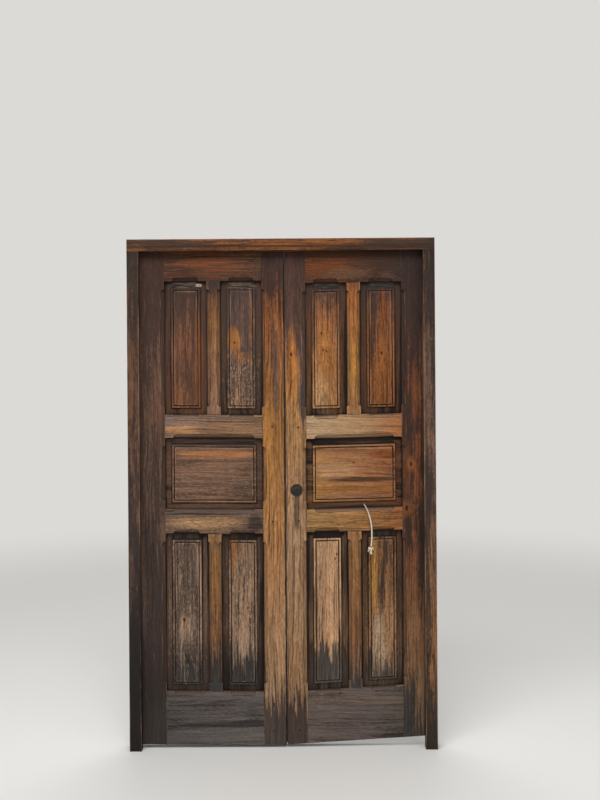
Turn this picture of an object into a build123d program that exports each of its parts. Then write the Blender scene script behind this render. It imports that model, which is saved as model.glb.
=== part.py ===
from build123d import *
import math
import os

# A pair of framed and panelled door leaves in their rebated frame.
# X runs to the right as seen from the street, Y into the house, Z up, in millimetres.
# The origin is the middle of the whole thing at the feet of the frame.

# The frame
frame_width = 1300.0
frame_height = 2160.0
jamb_face_width = 50.0
head_face_height = 50.0
lip_depth = 32.0
lip_cover = 12.0
frame_tenon_width = 22.0
frame_tenon_depth = 24.0
frame_tenon_length = 30.0
frame_tenon_setback = 6.0
frame_peg_diameter = 12.0
frame_peg_length = 36.0

# How the leaves sit in the frame
leaf_thickness = 42.0
leaf_air = 1.0
hinge_side_gap = 3.0
top_gap = 3.0
meeting_x = 13.0
meeting_gap_at_front = 6.0
meeting_gap_at_back = 0.6

# Members of the left leaf, widths as seen and heights at its meeting stile
left_hinge_stile_width = 111.0
left_meeting_stile_width = 96.0
left_muntin_width = 59.0
left_outer_opening_width = 180.0
left_top_rail_height = 132.0
left_upper_lock_rail_low = 1316.0
left_upper_lock_rail_height = 99.0
left_lower_lock_rail_low = 910.0
left_lower_lock_rail_height = 103.0
left_bottom_rail_low = 10.0
left_bottom_rail_height = 226.0
left_top_rail_rise = 0.0
left_upper_lock_rail_rise = 5.0
left_lower_lock_rail_rise = 4.0
left_bottom_rail_rise = 5.0

# Members of the right leaf, which has dropped further at its meeting stile
right_hinge_stile_width = 98.0
right_meeting_stile_width = 90.0
right_muntin_width = 60.0
right_outer_opening_width = 174.0
right_top_rail_height = 142.0
right_upper_lock_rail_low = 1311.0
right_upper_lock_rail_height = 101.0
right_lower_lock_rail_low = 915.0
right_lower_lock_rail_height = 98.0
right_bottom_rail_low = 17.0
right_bottom_rail_height = 221.0
right_top_rail_rise = 3.0
right_upper_lock_rail_rise = 8.0
right_lower_lock_rail_rise = 8.0
right_bottom_rail_rise = 23.0

# Tenons, mortises and pegs
tenon_thickness = 14.0
tenon_length = 66.0
tenon_haunch = 16.0
double_tenon_split = 20.0
muntin_tenon_length = 30.0
mortise_end_gap = 3.0
joint_clearance = 0.15
peg_diameter = 9.0
peg_depth = 34.0
peg_sunk = 1.0
peg_clearance = 0.05
left_peg_from_shoulder = 42.0
right_peg_from_shoulder = 34.0

# Raised and fielded panels, depths from the leaf's face
tongue_reach = 10.0
tongue_thickness = 10.0
groove_end_gap = 1.5
groove_side_clearance = 0.25
margin_depth_at_edge = 16.0
margin_depth_inside = 12.5
margin_width = 29.0
bead_width = 7.5
bead_depth = 8.0
quirk_width = 3.5
quirk_depth = 12.0
field_depth = 6.0
field_arris = 1.5

# Stopped sunk chamfers round every opening
chamfer_width = 14.5
chamfer_step = 2.0
chamfer_slope = 0.8
chamfer_stop = 35.0
chamfer_end_radius = 12.0

# Lift-off hinges on the back, three to a leaf
bottom_hinge_above_floor = 250.0
top_hinge_below_top = 219.0
hinge_height = 110.0
hinge_barrel_radius = 6.5
hinge_barrel_lift = 0.3
hinge_pin_radius = 3.5
hinge_running_clearance = 0.05
hinge_knuckle_gap = 0.4
hinge_plate_thickness = 2.5
hinge_plate_corner = 6.0
hinge_cap_height = 3.0
hinge_cap_radius = 5.0
hinge_notch = 0.5
frame_flap_width = 34.0
leaf_flap_width = 60.0

# The rim lock of the right leaf and its keeper on the left one
lock_above_rail = 82.0
lock_backset = 48.0
rose_radius = 26.0
rose_thickness = 3.5
rose_rim = 1.2
cylinder_nose_radius = 14.5
cylinder_nose_projection = 6.0
cylinder_body_radius = 13.0
cylinder_bore_clearance = 0.25
cylinder_back_projection = 4.0
plug_radius = 6.5
plug_clearance = 0.05
keyhole_width = 1.8
keyhole_height = 8.0
keyhole_depth = 14.0
tail_width = 7.0
tail_thickness = 2.0
tail_gap = 0.4
lock_case_depth = 28.0
lock_case_width = 80.0
lock_case_height = 110.0
lock_case_wall = 2.5
lock_case_inset = 4.0
lock_bolt_height = 22.0
lock_bolt_thickness = 12.0
lock_bolt_length = 66.0
lock_bolt_throw = 18.0
lock_bolt_clearance = 0.3
keeper_inset = 4.0
keeper_width = 34.0
keeper_height = 52.0
keeper_mouth_spare = 12.0
keeper_mouth_clearance = 1.0
lock_bolt_arris = 2.0

# Sliding bolts on the back of the left leaf
slide_bolt_inset = 48.0
slide_bolt_width = 12.0
slide_bolt_thickness = 8.0
slide_bolt_clearance = 0.3
slide_bolt_length = 266.0
slide_bolt_end_inset = 1.0
bottom_bolt_tip = 14.0
guide_width = 36.0
guide_height = 14.0
guide_strap = 2.5
near_guide_from_tip = 40.0
far_guide_from_tip = 186.0
knob_from_tip = 246.0
knob_radius = 6.0
knob_length = 14.0
knob_head_radius = 8.0
knob_head_length = 5.0
staple_height = 24.0
staple_lift = 6.0

# The pull string of the right leaf
cord_radius = 3.0
cord_hole_radius = 3.3
stop_knot_radius = 7.0
knot_radius = 13.0
knot_height = 30.0
knot_girths = (0.08, 0.25, 0.5, 0.75, 0.95)

# Depths from front to back
frame_depth = lip_depth + leaf_air + leaf_thickness
front_y = -(frame_depth + lock_case_depth) / 2
lip_back_y = front_y + lip_depth
leaf_front_y = lip_back_y + leaf_air
leaf_back_y = leaf_front_y + leaf_thickness
tongue_front_y = leaf_front_y + margin_depth_at_edge
panel_back_y = tongue_front_y + tongue_thickness
tenon_front_y = leaf_front_y + (leaf_thickness - tenon_thickness) / 2
tenon_back_y = tenon_front_y + tenon_thickness
pin_y = leaf_back_y + hinge_barrel_lift + hinge_barrel_radius

# Widths and heights that follow from the frame
half_width = frame_width / 2
daylight_x = half_width - jamb_face_width
rebate_x = daylight_x + lip_cover
hinge_edge_x = rebate_x - hinge_side_gap
pin_x = rebate_x - hinge_side_gap / 2
daylight_top = frame_height - head_face_height
rebate_top = daylight_top + lip_cover
leaf_top = rebate_top - top_gap
top_hinge = leaf_top - top_hinge_below_top
hinge_heights = [bottom_hinge_above_floor, (bottom_hinge_above_floor + top_hinge) / 2, top_hinge]
lock_height = right_lower_lock_rail_low + right_lower_lock_rail_height + lock_above_rail

# How far a cutter runs past the face that it opens, and the sides of a whittled peg
over = 1.0
peg_sides = 8


def slab(outline, near_y, far_y):
    """A flat board: an outline in x and z, between two depths."""
    edge = Polyline(*[(x, near_y, z) for x, z in outline], close=True)
    return extrude(make_face(edge.edges()), amount=far_y - near_y, dir=(0, 1, 0))


def block(low_x, high_x, near_y, far_y, low_z, high_z):
    """A square-edged block between two corners."""
    outline = [(low_x, low_z), (high_x, low_z), (high_x, high_z), (low_x, high_z)]
    return slab(outline, near_y, far_y)


def prism(plan, low_z, high_z):
    """An upright bar with the given plan in x and y."""
    edge = Polyline(*[(x, y, low_z) for x, y in plan], close=True)
    return extrude(make_face(edge.edges()), amount=high_z - low_z, dir=(0, 0, 1))


def upright_rod(x, y, radius, low_z, high_z):
    """A round rod along Z."""
    return Pos(x, y, (low_z + high_z) / 2) * Cylinder(radius, high_z - low_z)


def cross_rod(x, z, radius, near_y, far_y):
    """A round rod along Y."""
    rod = Rot(90, 0, 0) * Cylinder(radius, far_y - near_y)
    return Pos(x, (near_y + far_y) / 2, z) * rod


def peg_rod(x, z, radius, near_y, far_y):
    """An eight-sided whittled rod along Y, or the hole that it has cut for itself."""
    section = Plane(origin=(x, near_y, z), z_dir=(0, 1, 0)) * RegularPolygon(radius, peg_sides)
    return extrude(section, amount=far_y - near_y)


def turned(x, z, profile):
    """A turned piece on an axis along Y, from radius and depth pairs."""
    edge = Polyline(*[(radius, depth, 0) for radius, depth in profile], close=True)
    return Pos(x, 0, z) * revolve(make_face(edge.edges()), axis=Axis.Y)


def inset(outline, distance):
    """A convex outline, corners in anticlockwise order, with each side moved inwards."""
    lines = []
    for (ax, az), (bx, bz) in zip(outline, outline[1:] + outline[:1]):
        length = math.hypot(bx - ax, bz - az)
        nx, nz = -(bz - az) / length, (bx - ax) / length
        lines.append((nx, nz, nx * ax + nz * az + distance))
    corners = []
    for (nx, nz, c), (mx, mz, d) in zip(lines[-1:] + lines[:-1], lines):
        det = nx * mz - nz * mx
        corners.append(((c * mz - d * nz) / det, (nx * d - mx * c) / det))
    return corners


def flat_sided(rings):
    """A solid with flat sides, through rings of corners that stand one behind the other."""
    def flat(points):
        return make_face(Polyline(*points, close=True).edges())

    faces = [flat(rings[0]), flat(rings[-1])]
    for near, far in zip(rings, rings[1:]):
        for i in range(len(near)):
            j = (i + 1) % len(near)
            faces.append(flat([near[i], near[j], far[j], far[i]]))
    return Solid(Shell(faces))


def frustum(near_outline, near_y, far_outline, far_y):
    """A board whose edges slope from one outline to a larger or smaller one."""
    return flat_sided([[(x, near_y, z) for x, z in near_outline], [(x, far_y, z) for x, z in far_outline]])


def cut(body, cutters):
    """The body without those cutters whose boxes meet its own box."""
    box = body.bounding_box()
    near = []
    for cutter in cutters:
        other = cutter.bounding_box()
        apart_x = other.min.X > box.max.X or other.max.X < box.min.X
        apart_z = other.min.Z > box.max.Z or other.max.Z < box.min.Z
        if not (apart_x or apart_z):
            near.append(cutter)
    return body - near if near else body


class Rail:
    """A cross rail, whose edges rise in straight lines from the meeting stile to the hinge stile."""

    def __init__(self, shoulders, low, high, low_rise, high_rise, tenon_count):
        self.start, self.end = shoulders
        self.low_height, self.high_height = low, high
        self.low_rise, self.high_rise = low_rise, high_rise
        self.tenon_count = tenon_count

    def along(self, x):
        return (x - self.start) / (self.end - self.start)

    def low(self, x):
        return self.low_height + self.low_rise * self.along(x)

    def high(self, x):
        return self.high_height + self.high_rise * self.along(x)

    def tenon_spans(self, x):
        """Lower and upper edge of each tenon at x, set in from the rail's edges past the panel grooves."""
        low, high = self.low(x) + tenon_haunch, self.high(x) - tenon_haunch
        if self.tenon_count == 1:
            return [(low, high)]
        middle = (low + high) / 2
        return [(low, middle - double_tenon_split / 2), (middle + double_tenon_split / 2, high)]


class Leaf:
    """The lines that one leaf is set out from, with its hinges on the given side."""

    def __init__(self, name, side, hinge_stile_width, meeting_stile_width, muntin_width,
                 outer_opening_width, peg_from_shoulder):
        self.name, self.side = name, side
        self.hinge_edge = side * hinge_edge_x
        self.meeting_edge = meeting_x + side * meeting_gap_at_back / 2
        self.meeting_front = meeting_x + side * meeting_gap_at_front / 2
        self.hinge_shoulder = self.hinge_edge - side * hinge_stile_width
        self.meeting_shoulder = meeting_x + side * meeting_stile_width
        self.muntin_hinge_side = self.hinge_shoulder - side * outer_opening_width
        self.muntin_meeting_side = self.muntin_hinge_side - side * muntin_width
        self.peg_from_shoulder = peg_from_shoulder
        self.shoulders = (self.meeting_shoulder, self.hinge_shoulder)

    def set_rails(self, bottom, lower_lock, upper_lock, top):
        self.rails = {"bottom_rail": bottom, "lower_lock_rail": lower_lock,
                      "upper_lock_rail": upper_lock, "top_rail": top}

    def opening(self, x_a, x_b, rail_below, rail_above):
        """The four corners of an opening, anticlockwise as seen from the street."""
        left, right = min(x_a, x_b), max(x_a, x_b)
        below, above = self.rails[rail_below], self.rails[rail_above]
        return [(left, below.high(left)), (right, below.high(right)),
                (right, above.low(right)), (left, above.low(left))]

    def openings(self):
        outer = (self.hinge_shoulder, self.muntin_hinge_side)
        inner = (self.muntin_meeting_side, self.meeting_shoulder)
        upper = ("upper_lock_rail", "top_rail")
        lower = ("bottom_rail", "lower_lock_rail")
        return {
            "upper_outer": self.opening(*outer, *upper),
            "upper_inner": self.opening(*inner, *upper),
            "middle": self.opening(*self.shoulders, "lower_lock_rail", "upper_lock_rail"),
            "lower_outer": self.opening(*outer, *lower),
            "lower_inner": self.opening(*inner, *lower),
        }


# The frame: two rebated jambs tenoned up into a rebated head
def frame_tenon(clearance, length):
    """The tenon on top of the left jamb, grown by a clearance for its mortise."""
    low_x = -(half_width + rebate_x) / 2 - frame_tenon_width / 2
    near_y = lip_back_y + frame_tenon_setback
    return block(low_x - clearance, low_x + frame_tenon_width + clearance,
                 near_y - clearance, near_y + frame_tenon_depth + clearance,
                 rebate_top, rebate_top + length)


def frame_peg(radius, length):
    """The peg that is driven from the back through the left jamb's tenon."""
    x = -(half_width + rebate_x) / 2
    z = rebate_top + frame_tenon_length / 2
    return peg_rod(x, z, radius, leaf_back_y - length, leaf_back_y)


def left_jamb():
    plan = [(-half_width, front_y), (-daylight_x, front_y), (-daylight_x, lip_back_y),
            (-rebate_x, lip_back_y), (-rebate_x, leaf_back_y), (-half_width, leaf_back_y)]
    post = prism(plan, 0, daylight_top)
    rise = block(-half_width, -rebate_x, lip_back_y, leaf_back_y, daylight_top, rebate_top)
    jamb = post + rise + frame_tenon(0, frame_tenon_length)
    return jamb - frame_peg(frame_peg_diameter / 2 + peg_clearance, frame_peg_length + over)


def head():
    section = [(front_y, daylight_top), (front_y, frame_height), (leaf_back_y, frame_height),
               (leaf_back_y, rebate_top), (lip_back_y, rebate_top), (lip_back_y, daylight_top)]
    edge = Polyline(*[(-half_width, y, z) for y, z in section], close=True)
    bar = extrude(make_face(edge.edges()), amount=frame_width, dir=(1, 0, 0))
    mortise = frame_tenon(joint_clearance, frame_tenon_length + joint_clearance)
    hole = frame_peg(frame_peg_diameter / 2 + peg_clearance, frame_peg_length + over)
    return bar - [mortise, mirror(mortise, Plane.YZ), hole, mirror(hole, Plane.YZ)]


# The joinery of a leaf
def tenons(rail, shoulder, outward, clearance, length):
    """The tenons at one end of a rail, running outwards from its shoulder."""
    pieces = []
    far = shoulder + outward * length
    for (low_a, high_a), (low_b, high_b) in zip(rail.tenon_spans(shoulder), rail.tenon_spans(far)):
        outline = [(shoulder, low_a - clearance), (far, low_b - clearance),
                   (far, high_b + clearance), (shoulder, high_a + clearance)]
        pieces.append(slab(outline, tenon_front_y - clearance, tenon_back_y + clearance))
    return pieces


def muntin_tenon(leaf, rail, upwards, clearance, length):
    """The stub tenon of a muntin, into the rail above it or below it."""
    a, b = sorted((leaf.muntin_meeting_side, leaf.muntin_hinge_side))
    low_x, high_x = a + tenon_haunch - clearance, b - tenon_haunch + clearance
    shoulder = rail.low if upwards else rail.high
    direction = 1 if upwards else -1
    outline = [(low_x, shoulder(low_x)), (high_x, shoulder(high_x)),
               (high_x, shoulder(high_x) + direction * length),
               (low_x, shoulder(low_x) + direction * length)]
    return slab(outline, tenon_front_y - clearance, tenon_back_y + clearance)


def peg_places(leaf, shoulder, outward):
    """The centre of each peg through the tenons in one stile."""
    x = shoulder + outward * leaf.peg_from_shoulder
    places = []
    for rail in leaf.rails.values():
        for low, high in rail.tenon_spans(x):
            places.append((x, (low + high) / 2))
    return places


def leaf_peg_places(leaf):
    return (peg_places(leaf, leaf.meeting_shoulder, -leaf.side)
            + peg_places(leaf, leaf.hinge_shoulder, leaf.side))


def pegs(leaf):
    """Every peg of a leaf, driven from the face and a little sunk."""
    return [peg_rod(x, z, peg_diameter / 2, leaf_front_y + peg_sunk, leaf_front_y + peg_depth)
            for x, z in leaf_peg_places(leaf)]


def peg_holes(leaf):
    radius = peg_diameter / 2 + peg_clearance
    return [peg_rod(x, z, radius, leaf_front_y - over, leaf_front_y + peg_depth + peg_clearance)
            for x, z in leaf_peg_places(leaf)]


def panel_grooves(leaf):
    """The space that each panel's tongue needs in the members round it."""
    reach = tongue_reach + groove_end_gap
    near_y = tongue_front_y - groove_side_clearance
    far_y = panel_back_y + groove_side_clearance
    return [slab(inset(outline, -reach), near_y, far_y) for outline in leaf.openings().values()]


def sunk_chamfer(start, end):
    """The cutter of one stopped chamfer along an opening's side, with the opening on its left."""
    run = Vector(end[0] - start[0], 0, end[1] - start[1])
    length = run.length - 2 * chamfer_stop
    middle = Vector((start[0] + end[0]) / 2, leaf_front_y, (start[1] + end[1]) / 2)
    place = Plane(origin=middle, x_dir=run.normalized(), z_dir=(0, -1, 0))
    fall = (chamfer_width + over) * chamfer_slope
    section = [(0, -chamfer_width, over), (0, -chamfer_width, -chamfer_step),
               (0, over, -chamfer_step - fall), (0, over, over)]
    wedge = extrude(make_face(Polyline(*section, close=True).edges()), amount=length / 2, both=True)
    plan = RectangleRounded(length, 2 * chamfer_width, chamfer_end_radius)
    depth = chamfer_step + fall
    stops = Pos(0, 0, -depth - over) * extrude(plan, amount=depth + 3 * over)
    return place * (wedge & stops)


def chamfer_cutters(leaf):
    cutters = []
    for corners in leaf.openings().values():
        for start, end in zip(corners, corners[1:] + corners[:1]):
            cutters.append(sunk_chamfer(start, end))
    return cutters


def meeting_bevel(leaf):
    """The wedge planed off a meeting edge, so that the joint is open at the front."""
    far = leaf.meeting_edge - leaf.side * meeting_gap_at_front
    plan = [(leaf.meeting_edge, leaf_back_y), (leaf.meeting_front, leaf_front_y),
            (leaf.meeting_front, leaf_front_y - over), (far, leaf_front_y - over), (far, leaf_back_y)]
    return prism(plan, -over, leaf_top + over)


def stile(leaf, edge, shoulder, outward):
    """An upright at one side of a leaf, mortised for every rail."""
    bottom = leaf.rails["bottom_rail"]
    outline = [(edge, bottom.low(edge)), (shoulder, bottom.low(shoulder)), (shoulder, leaf_top), (edge, leaf_top)]
    board = slab(outline, leaf_front_y, leaf_back_y)
    mortises = []
    for rail in leaf.rails.values():
        mortises += tenons(rail, shoulder, outward, joint_clearance, tenon_length + mortise_end_gap)
    return board - mortises


def rail_board(leaf, rail):
    """A rail between its shoulders, with the tenons at both ends."""
    start, end = leaf.meeting_shoulder, leaf.hinge_shoulder
    outline = [(start, rail.low(start)), (end, rail.low(end)), (end, rail.high(end)), (start, rail.high(start))]
    board = slab(outline, leaf_front_y, leaf_back_y)
    ends = tenons(rail, start, -leaf.side, 0, tenon_length) + tenons(rail, end, leaf.side, 0, tenon_length)
    return board + ends


def muntin(leaf, rail_below, rail_above):
    """The short upright between two panels, stub-tenoned into the rails."""
    below, above = leaf.rails[rail_below], leaf.rails[rail_above]
    a, b = leaf.muntin_meeting_side, leaf.muntin_hinge_side
    outline = [(a, below.high(a)), (b, below.high(b)), (b, above.low(b)), (a, above.low(a))]
    board = slab(outline, leaf_front_y, leaf_back_y)
    stubs = [muntin_tenon(leaf, below, False, 0, muntin_tenon_length),
             muntin_tenon(leaf, above, True, 0, muntin_tenon_length)]
    return board + stubs


def muntin_mortises(leaf):
    length = muntin_tenon_length + mortise_end_gap
    sockets = []
    for below, above in (("bottom_rail", "lower_lock_rail"), ("upper_lock_rail", "top_rail")):
        sockets.append(muntin_tenon(leaf, leaf.rails[below], False, joint_clearance, length))
        sockets.append(muntin_tenon(leaf, leaf.rails[above], True, joint_clearance, length))
    return sockets


def fielded_panel(outline):
    """A raised and fielded panel with a tongue all round and a flat back."""
    bead = inset(outline, margin_width)
    quirk = inset(outline, margin_width + bead_width)
    field = inset(outline, margin_width + bead_width + quirk_width)
    crown = inset(field, field_arris)
    margin_y = leaf_front_y + margin_depth_inside
    arris_y = leaf_front_y + field_depth + field_arris
    board = slab(inset(outline, -tongue_reach), tongue_front_y, panel_back_y)
    board += frustum(bead, margin_y, outline, tongue_front_y)
    board += slab(bead, leaf_front_y + bead_depth, margin_y)
    board -= slab(quirk, leaf_front_y, leaf_front_y + quirk_depth)
    board += slab(field, arris_y, leaf_front_y + quirk_depth)
    return board + frustum(crown, leaf_front_y + field_depth, field, arris_y)


def leaf_pieces(leaf):
    """Every wooden piece of a leaf, by node name."""
    cutters = panel_grooves(leaf) + chamfer_cutters(leaf) + peg_holes(leaf)
    hinge_stile = stile(leaf, leaf.hinge_edge, leaf.hinge_shoulder, leaf.side)
    meeting_stile = stile(leaf, leaf.meeting_edge, leaf.meeting_shoulder, -leaf.side) - meeting_bevel(leaf)
    pieces = {"hinge_stile": cut(hinge_stile, cutters), "meeting_stile": cut(meeting_stile, cutters)}
    sockets = muntin_mortises(leaf)
    for name, rail in leaf.rails.items():
        pieces[name] = cut(rail_board(leaf, rail), cutters + sockets)
    pieces["upper_muntin"] = cut(muntin(leaf, "upper_lock_rail", "top_rail"), cutters)
    pieces["lower_muntin"] = cut(muntin(leaf, "bottom_rail", "lower_lock_rail"), cutters)
    for name, outline in leaf.openings().items():
        pieces["panel_" + name] = fielded_panel(outline)
    pieces["pegs"] = pegs(leaf)
    return {leaf.name + "_" + name: piece for name, piece in pieces.items()}


# Lift-off hinges: the lower knuckle and its pin stay on the frame
def hinge_flap(side, middle_z, outward, width, low_z, high_z):
    """One plate with its knuckle between two heights."""
    axis_x = side * pin_x
    inner = axis_x + outward * (hinge_barrel_radius + hinge_notch)
    outer = axis_x + outward * width
    low, high = middle_z - hinge_height / 2, middle_z + hinge_height / 2
    corner = hinge_plate_corner
    outline = [(inner, low), (outer - outward * corner, low), (outer, low + corner),
               (outer, high - corner), (outer - outward * corner, high), (inner, high)]
    plate_y = leaf_back_y + hinge_plate_thickness
    plate = slab(outline, leaf_back_y, plate_y)
    tongue = slab([(axis_x, low_z), (inner, low_z), (inner, high_z), (axis_x, high_z)], leaf_back_y, plate_y)
    knuckle = upright_rod(axis_x, pin_y, hinge_barrel_radius, low_z, high_z)
    bore = upright_rod(axis_x, pin_y, hinge_pin_radius + hinge_running_clearance, low_z - over, high_z + over)
    return plate + tongue + knuckle - bore


def hinge_pin(side, middle_z):
    """The pin, with a flat cap that closes the barrel from below."""
    low, high = middle_z - hinge_height / 2, middle_z + hinge_height / 2
    shaft = upright_rod(side * pin_x, pin_y, hinge_pin_radius, low, high)
    cap = upright_rod(side * pin_x, pin_y, hinge_cap_radius, low - hinge_cap_height, low)
    return shaft + cap


def hinge_pieces():
    pieces = {}
    for name, side in (("left", -1), ("right", 1)):
        for place, height in zip(("bottom", "middle", "top"), hinge_heights):
            low, high = height - hinge_height / 2, height + hinge_height / 2
            lower = (low, height - hinge_knuckle_gap / 2)
            upper = (height + hinge_knuckle_gap / 2, high)
            label = name + "_" + place + "_hinge_"
            pieces[label + "frame_flap"] = hinge_flap(side, height, side, frame_flap_width, *lower)
            pieces[label + "leaf_flap"] = hinge_flap(side, height, -side, leaf_flap_width, *upper)
    pieces["hinge_pins"] = [hinge_pin(side, height) for side in (-1, 1) for height in hinge_heights]
    return pieces


# The rim lock
lock_x = meeting_x + lock_backset
lock_case_low_x = meeting_x + lock_case_inset
lock_case_high_x = lock_case_low_x + lock_case_width
lock_case_low_z = lock_height - lock_case_height / 2
lock_case_high_z = lock_height + lock_case_height / 2
lock_case_back_y = leaf_back_y + lock_case_depth
cylinder_back_y = leaf_back_y + cylinder_back_projection
lock_bolt_back_y = lock_case_back_y - lock_case_wall - lock_bolt_clearance
lock_bolt_front_y = lock_bolt_back_y - lock_bolt_thickness
keeper_high_x = meeting_x - keeper_inset
keeper_low_x = keeper_high_x - keeper_width
thrown_bolt_x = lock_case_low_x - lock_bolt_throw


def lock_bolt_space(low_x, high_x, clearance):
    """The square bar of the lock's bolt, or the space that it slides in."""
    half = lock_bolt_height / 2 + clearance
    return block(low_x, high_x, lock_bolt_front_y - clearance, lock_bolt_back_y + clearance,
                 lock_height - half, lock_height + half)


def lock_case():
    """A pressed case, open towards the leaf, with the bolt's mouth in its edge."""
    shell = block(lock_case_low_x, lock_case_high_x, leaf_back_y, lock_case_back_y,
                  lock_case_low_z, lock_case_high_z)
    inside = block(lock_case_low_x + lock_case_wall, lock_case_high_x - lock_case_wall,
                   leaf_back_y - over, lock_case_back_y - lock_case_wall,
                   lock_case_low_z + lock_case_wall, lock_case_high_z - lock_case_wall)
    mouth = lock_bolt_space(lock_case_low_x - over, lock_case_low_x + lock_case_wall + over, lock_bolt_clearance)
    return shell - inside - mouth


def lock_bolt():
    bar = lock_bolt_space(lock_case_low_x, lock_case_low_x + lock_bolt_length, 0)
    end = bar.faces().sort_by(Axis.X)[0].edges().filter_by(Axis.Z)
    return chamfer(end, lock_bolt_arris)


def lock_cylinder():
    """The round rose on the face, the cylinder's nose and its body through the stile."""
    face_y = leaf_front_y
    nose_y = face_y - cylinder_nose_projection
    bore = plug_radius + plug_clearance
    profile = [(bore, nose_y), (cylinder_nose_radius - rose_rim, nose_y),
               (cylinder_nose_radius, nose_y + rose_rim), (cylinder_nose_radius, face_y - rose_thickness),
               (rose_radius - rose_rim, face_y - rose_thickness), (rose_radius, face_y - rose_thickness + rose_rim),
               (rose_radius, face_y), (cylinder_body_radius, face_y),
               (cylinder_body_radius, cylinder_back_y), (bore, cylinder_back_y)]
    return turned(lock_x, lock_height, profile)


def lock_plug():
    """The turning plug with its keyhole, and the flat tail that reaches the bolt."""
    nose_y = leaf_front_y - cylinder_nose_projection
    barrel = cross_rod(lock_x, lock_height, plug_radius, nose_y, cylinder_back_y)
    keyhole = block(lock_x - keyhole_width / 2, lock_x + keyhole_width / 2, nose_y - over,
                    nose_y + keyhole_depth, lock_height - keyhole_height / 2, lock_height + keyhole_height / 2)
    tail = block(lock_x - tail_width / 2, lock_x + tail_width / 2, cylinder_back_y,
                 lock_bolt_front_y - tail_gap, lock_height - tail_thickness / 2, lock_height + tail_thickness / 2)
    return barrel - keyhole + tail


def cylinder_bore():
    radius = cylinder_body_radius + cylinder_bore_clearance
    return cross_rod(lock_x, lock_height, radius, leaf_front_y - over, leaf_back_y + over)


def lock_keeper():
    """The box on the left leaf that takes the lock's bolt."""
    half = keeper_height / 2
    box = block(keeper_low_x, keeper_high_x, leaf_back_y, lock_case_back_y,
                lock_height - half, lock_height + half)
    mouth = lock_bolt_space(thrown_bolt_x - keeper_mouth_spare, keeper_high_x + over, keeper_mouth_clearance)
    return box - mouth


# Sliding bolts behind the left leaf
slide_bolt_x = meeting_x - slide_bolt_inset
slide_bolt_near_y = leaf_back_y + slide_bolt_clearance
slide_bolt_far_y = slide_bolt_near_y + slide_bolt_thickness
top_bolt_tip = leaf_top - slide_bolt_end_inset


def slide_bolt(tip_z, direction):
    """A flat bar from its tip, with a turned knob near its other end."""
    tail_z = tip_z + direction * slide_bolt_length
    half = slide_bolt_width / 2
    bar = block(slide_bolt_x - half, slide_bolt_x + half, slide_bolt_near_y, slide_bolt_far_y,
                min(tip_z, tail_z), max(tip_z, tail_z))
    neck_y = slide_bolt_far_y + knob_length - knob_head_length
    profile = [(0, slide_bolt_far_y), (knob_radius, slide_bolt_far_y), (knob_radius, neck_y),
               (knob_head_radius, neck_y), (knob_head_radius, neck_y + knob_head_length / 2),
               (knob_radius, slide_bolt_far_y + knob_length), (0, slide_bolt_far_y + knob_length)]
    return bar + turned(slide_bolt_x, tip_z + direction * knob_from_tip, profile)


def strap(low_z, high_z):
    """A bridge of flat iron over the bar of a sliding bolt."""
    half = slide_bolt_width / 2 + slide_bolt_clearance
    top_y = slide_bolt_far_y + slide_bolt_clearance
    bridge = block(slide_bolt_x - half - guide_strap, slide_bolt_x + half + guide_strap,
                   leaf_back_y, top_y + guide_strap, low_z, high_z)
    feet = block(slide_bolt_x - guide_width / 2, slide_bolt_x + guide_width / 2,
                 leaf_back_y, leaf_back_y + guide_strap, low_z, high_z)
    tunnel = block(slide_bolt_x - half, slide_bolt_x + half, leaf_back_y - over, top_y, low_z - over, high_z + over)
    return bridge + feet - tunnel


def bolt_guides():
    """Two straps for each sliding bolt."""
    guides = []
    for tip, direction in ((top_bolt_tip, -1), (bottom_bolt_tip, 1)):
        for distance in (near_guide_from_tip, far_guide_from_tip):
            middle = tip + direction * distance
            guides.append(strap(middle - guide_height / 2, middle + guide_height / 2))
    return guides


def top_bolt_staple():
    low = rebate_top + staple_lift
    return strap(low, low + staple_height)


# The pull string, its knot outside and the knot that stops it behind the panel
cord_route = [
    (349.0, -4.0, 1030.0),
    (349.0, -19.0, 1030.0),
    (355.0, -30.5, 1020.5),
    (362.0, -33.0, 1004.5),
    (369.0, -30.5, 985.0),
    (375.0, -28.5, 961.0),
    (378.5, -27.5, 933.0),
    (379.5, -27.0, 900.0),
    (378.0, -27.0, 874.0),
    (376.0, -27.5, 855.0),
]


def corner_radii(route):
    """A tangent arc at each corner, as large as its two runs allow."""
    radii = []
    points = [Vector(*point) for point in route]
    for before, corner, after in zip(points, points[1:], points[2:]):
        into, out = corner - before, after - corner
        half_turn = math.radians(into.get_angle(out)) / 2
        radii.append(0.45 * min(into.length, out.length) / math.tan(half_turn))
    return radii


def cord_hole():
    """The hole in the middle panel that the string comes out of."""
    x, mouth_y, z = cord_route[0]
    return cross_rod(x, z, cord_hole_radius, leaf_front_y, panel_back_y + over)


def pull_cord():
    """The hanging string, from the hole's mouth to its knot."""
    radii = corner_radii(cord_route)
    print("cord radii", [round(radius, 1) for radius in radii])
    path = FilletPolyline(*cord_route, radius=radii)
    start = Vector(*cord_route[0])
    direction = Vector(*cord_route[1]) - start
    section = Plane(origin=start, z_dir=direction.normalized()) * Circle(cord_radius)
    tube = sweep(section, path=path)
    print("cord length", round(path.length, 1), "volume ratio",
          round(tube.volume / (math.pi * cord_radius ** 2 * path.length), 4))
    return tube


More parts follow.
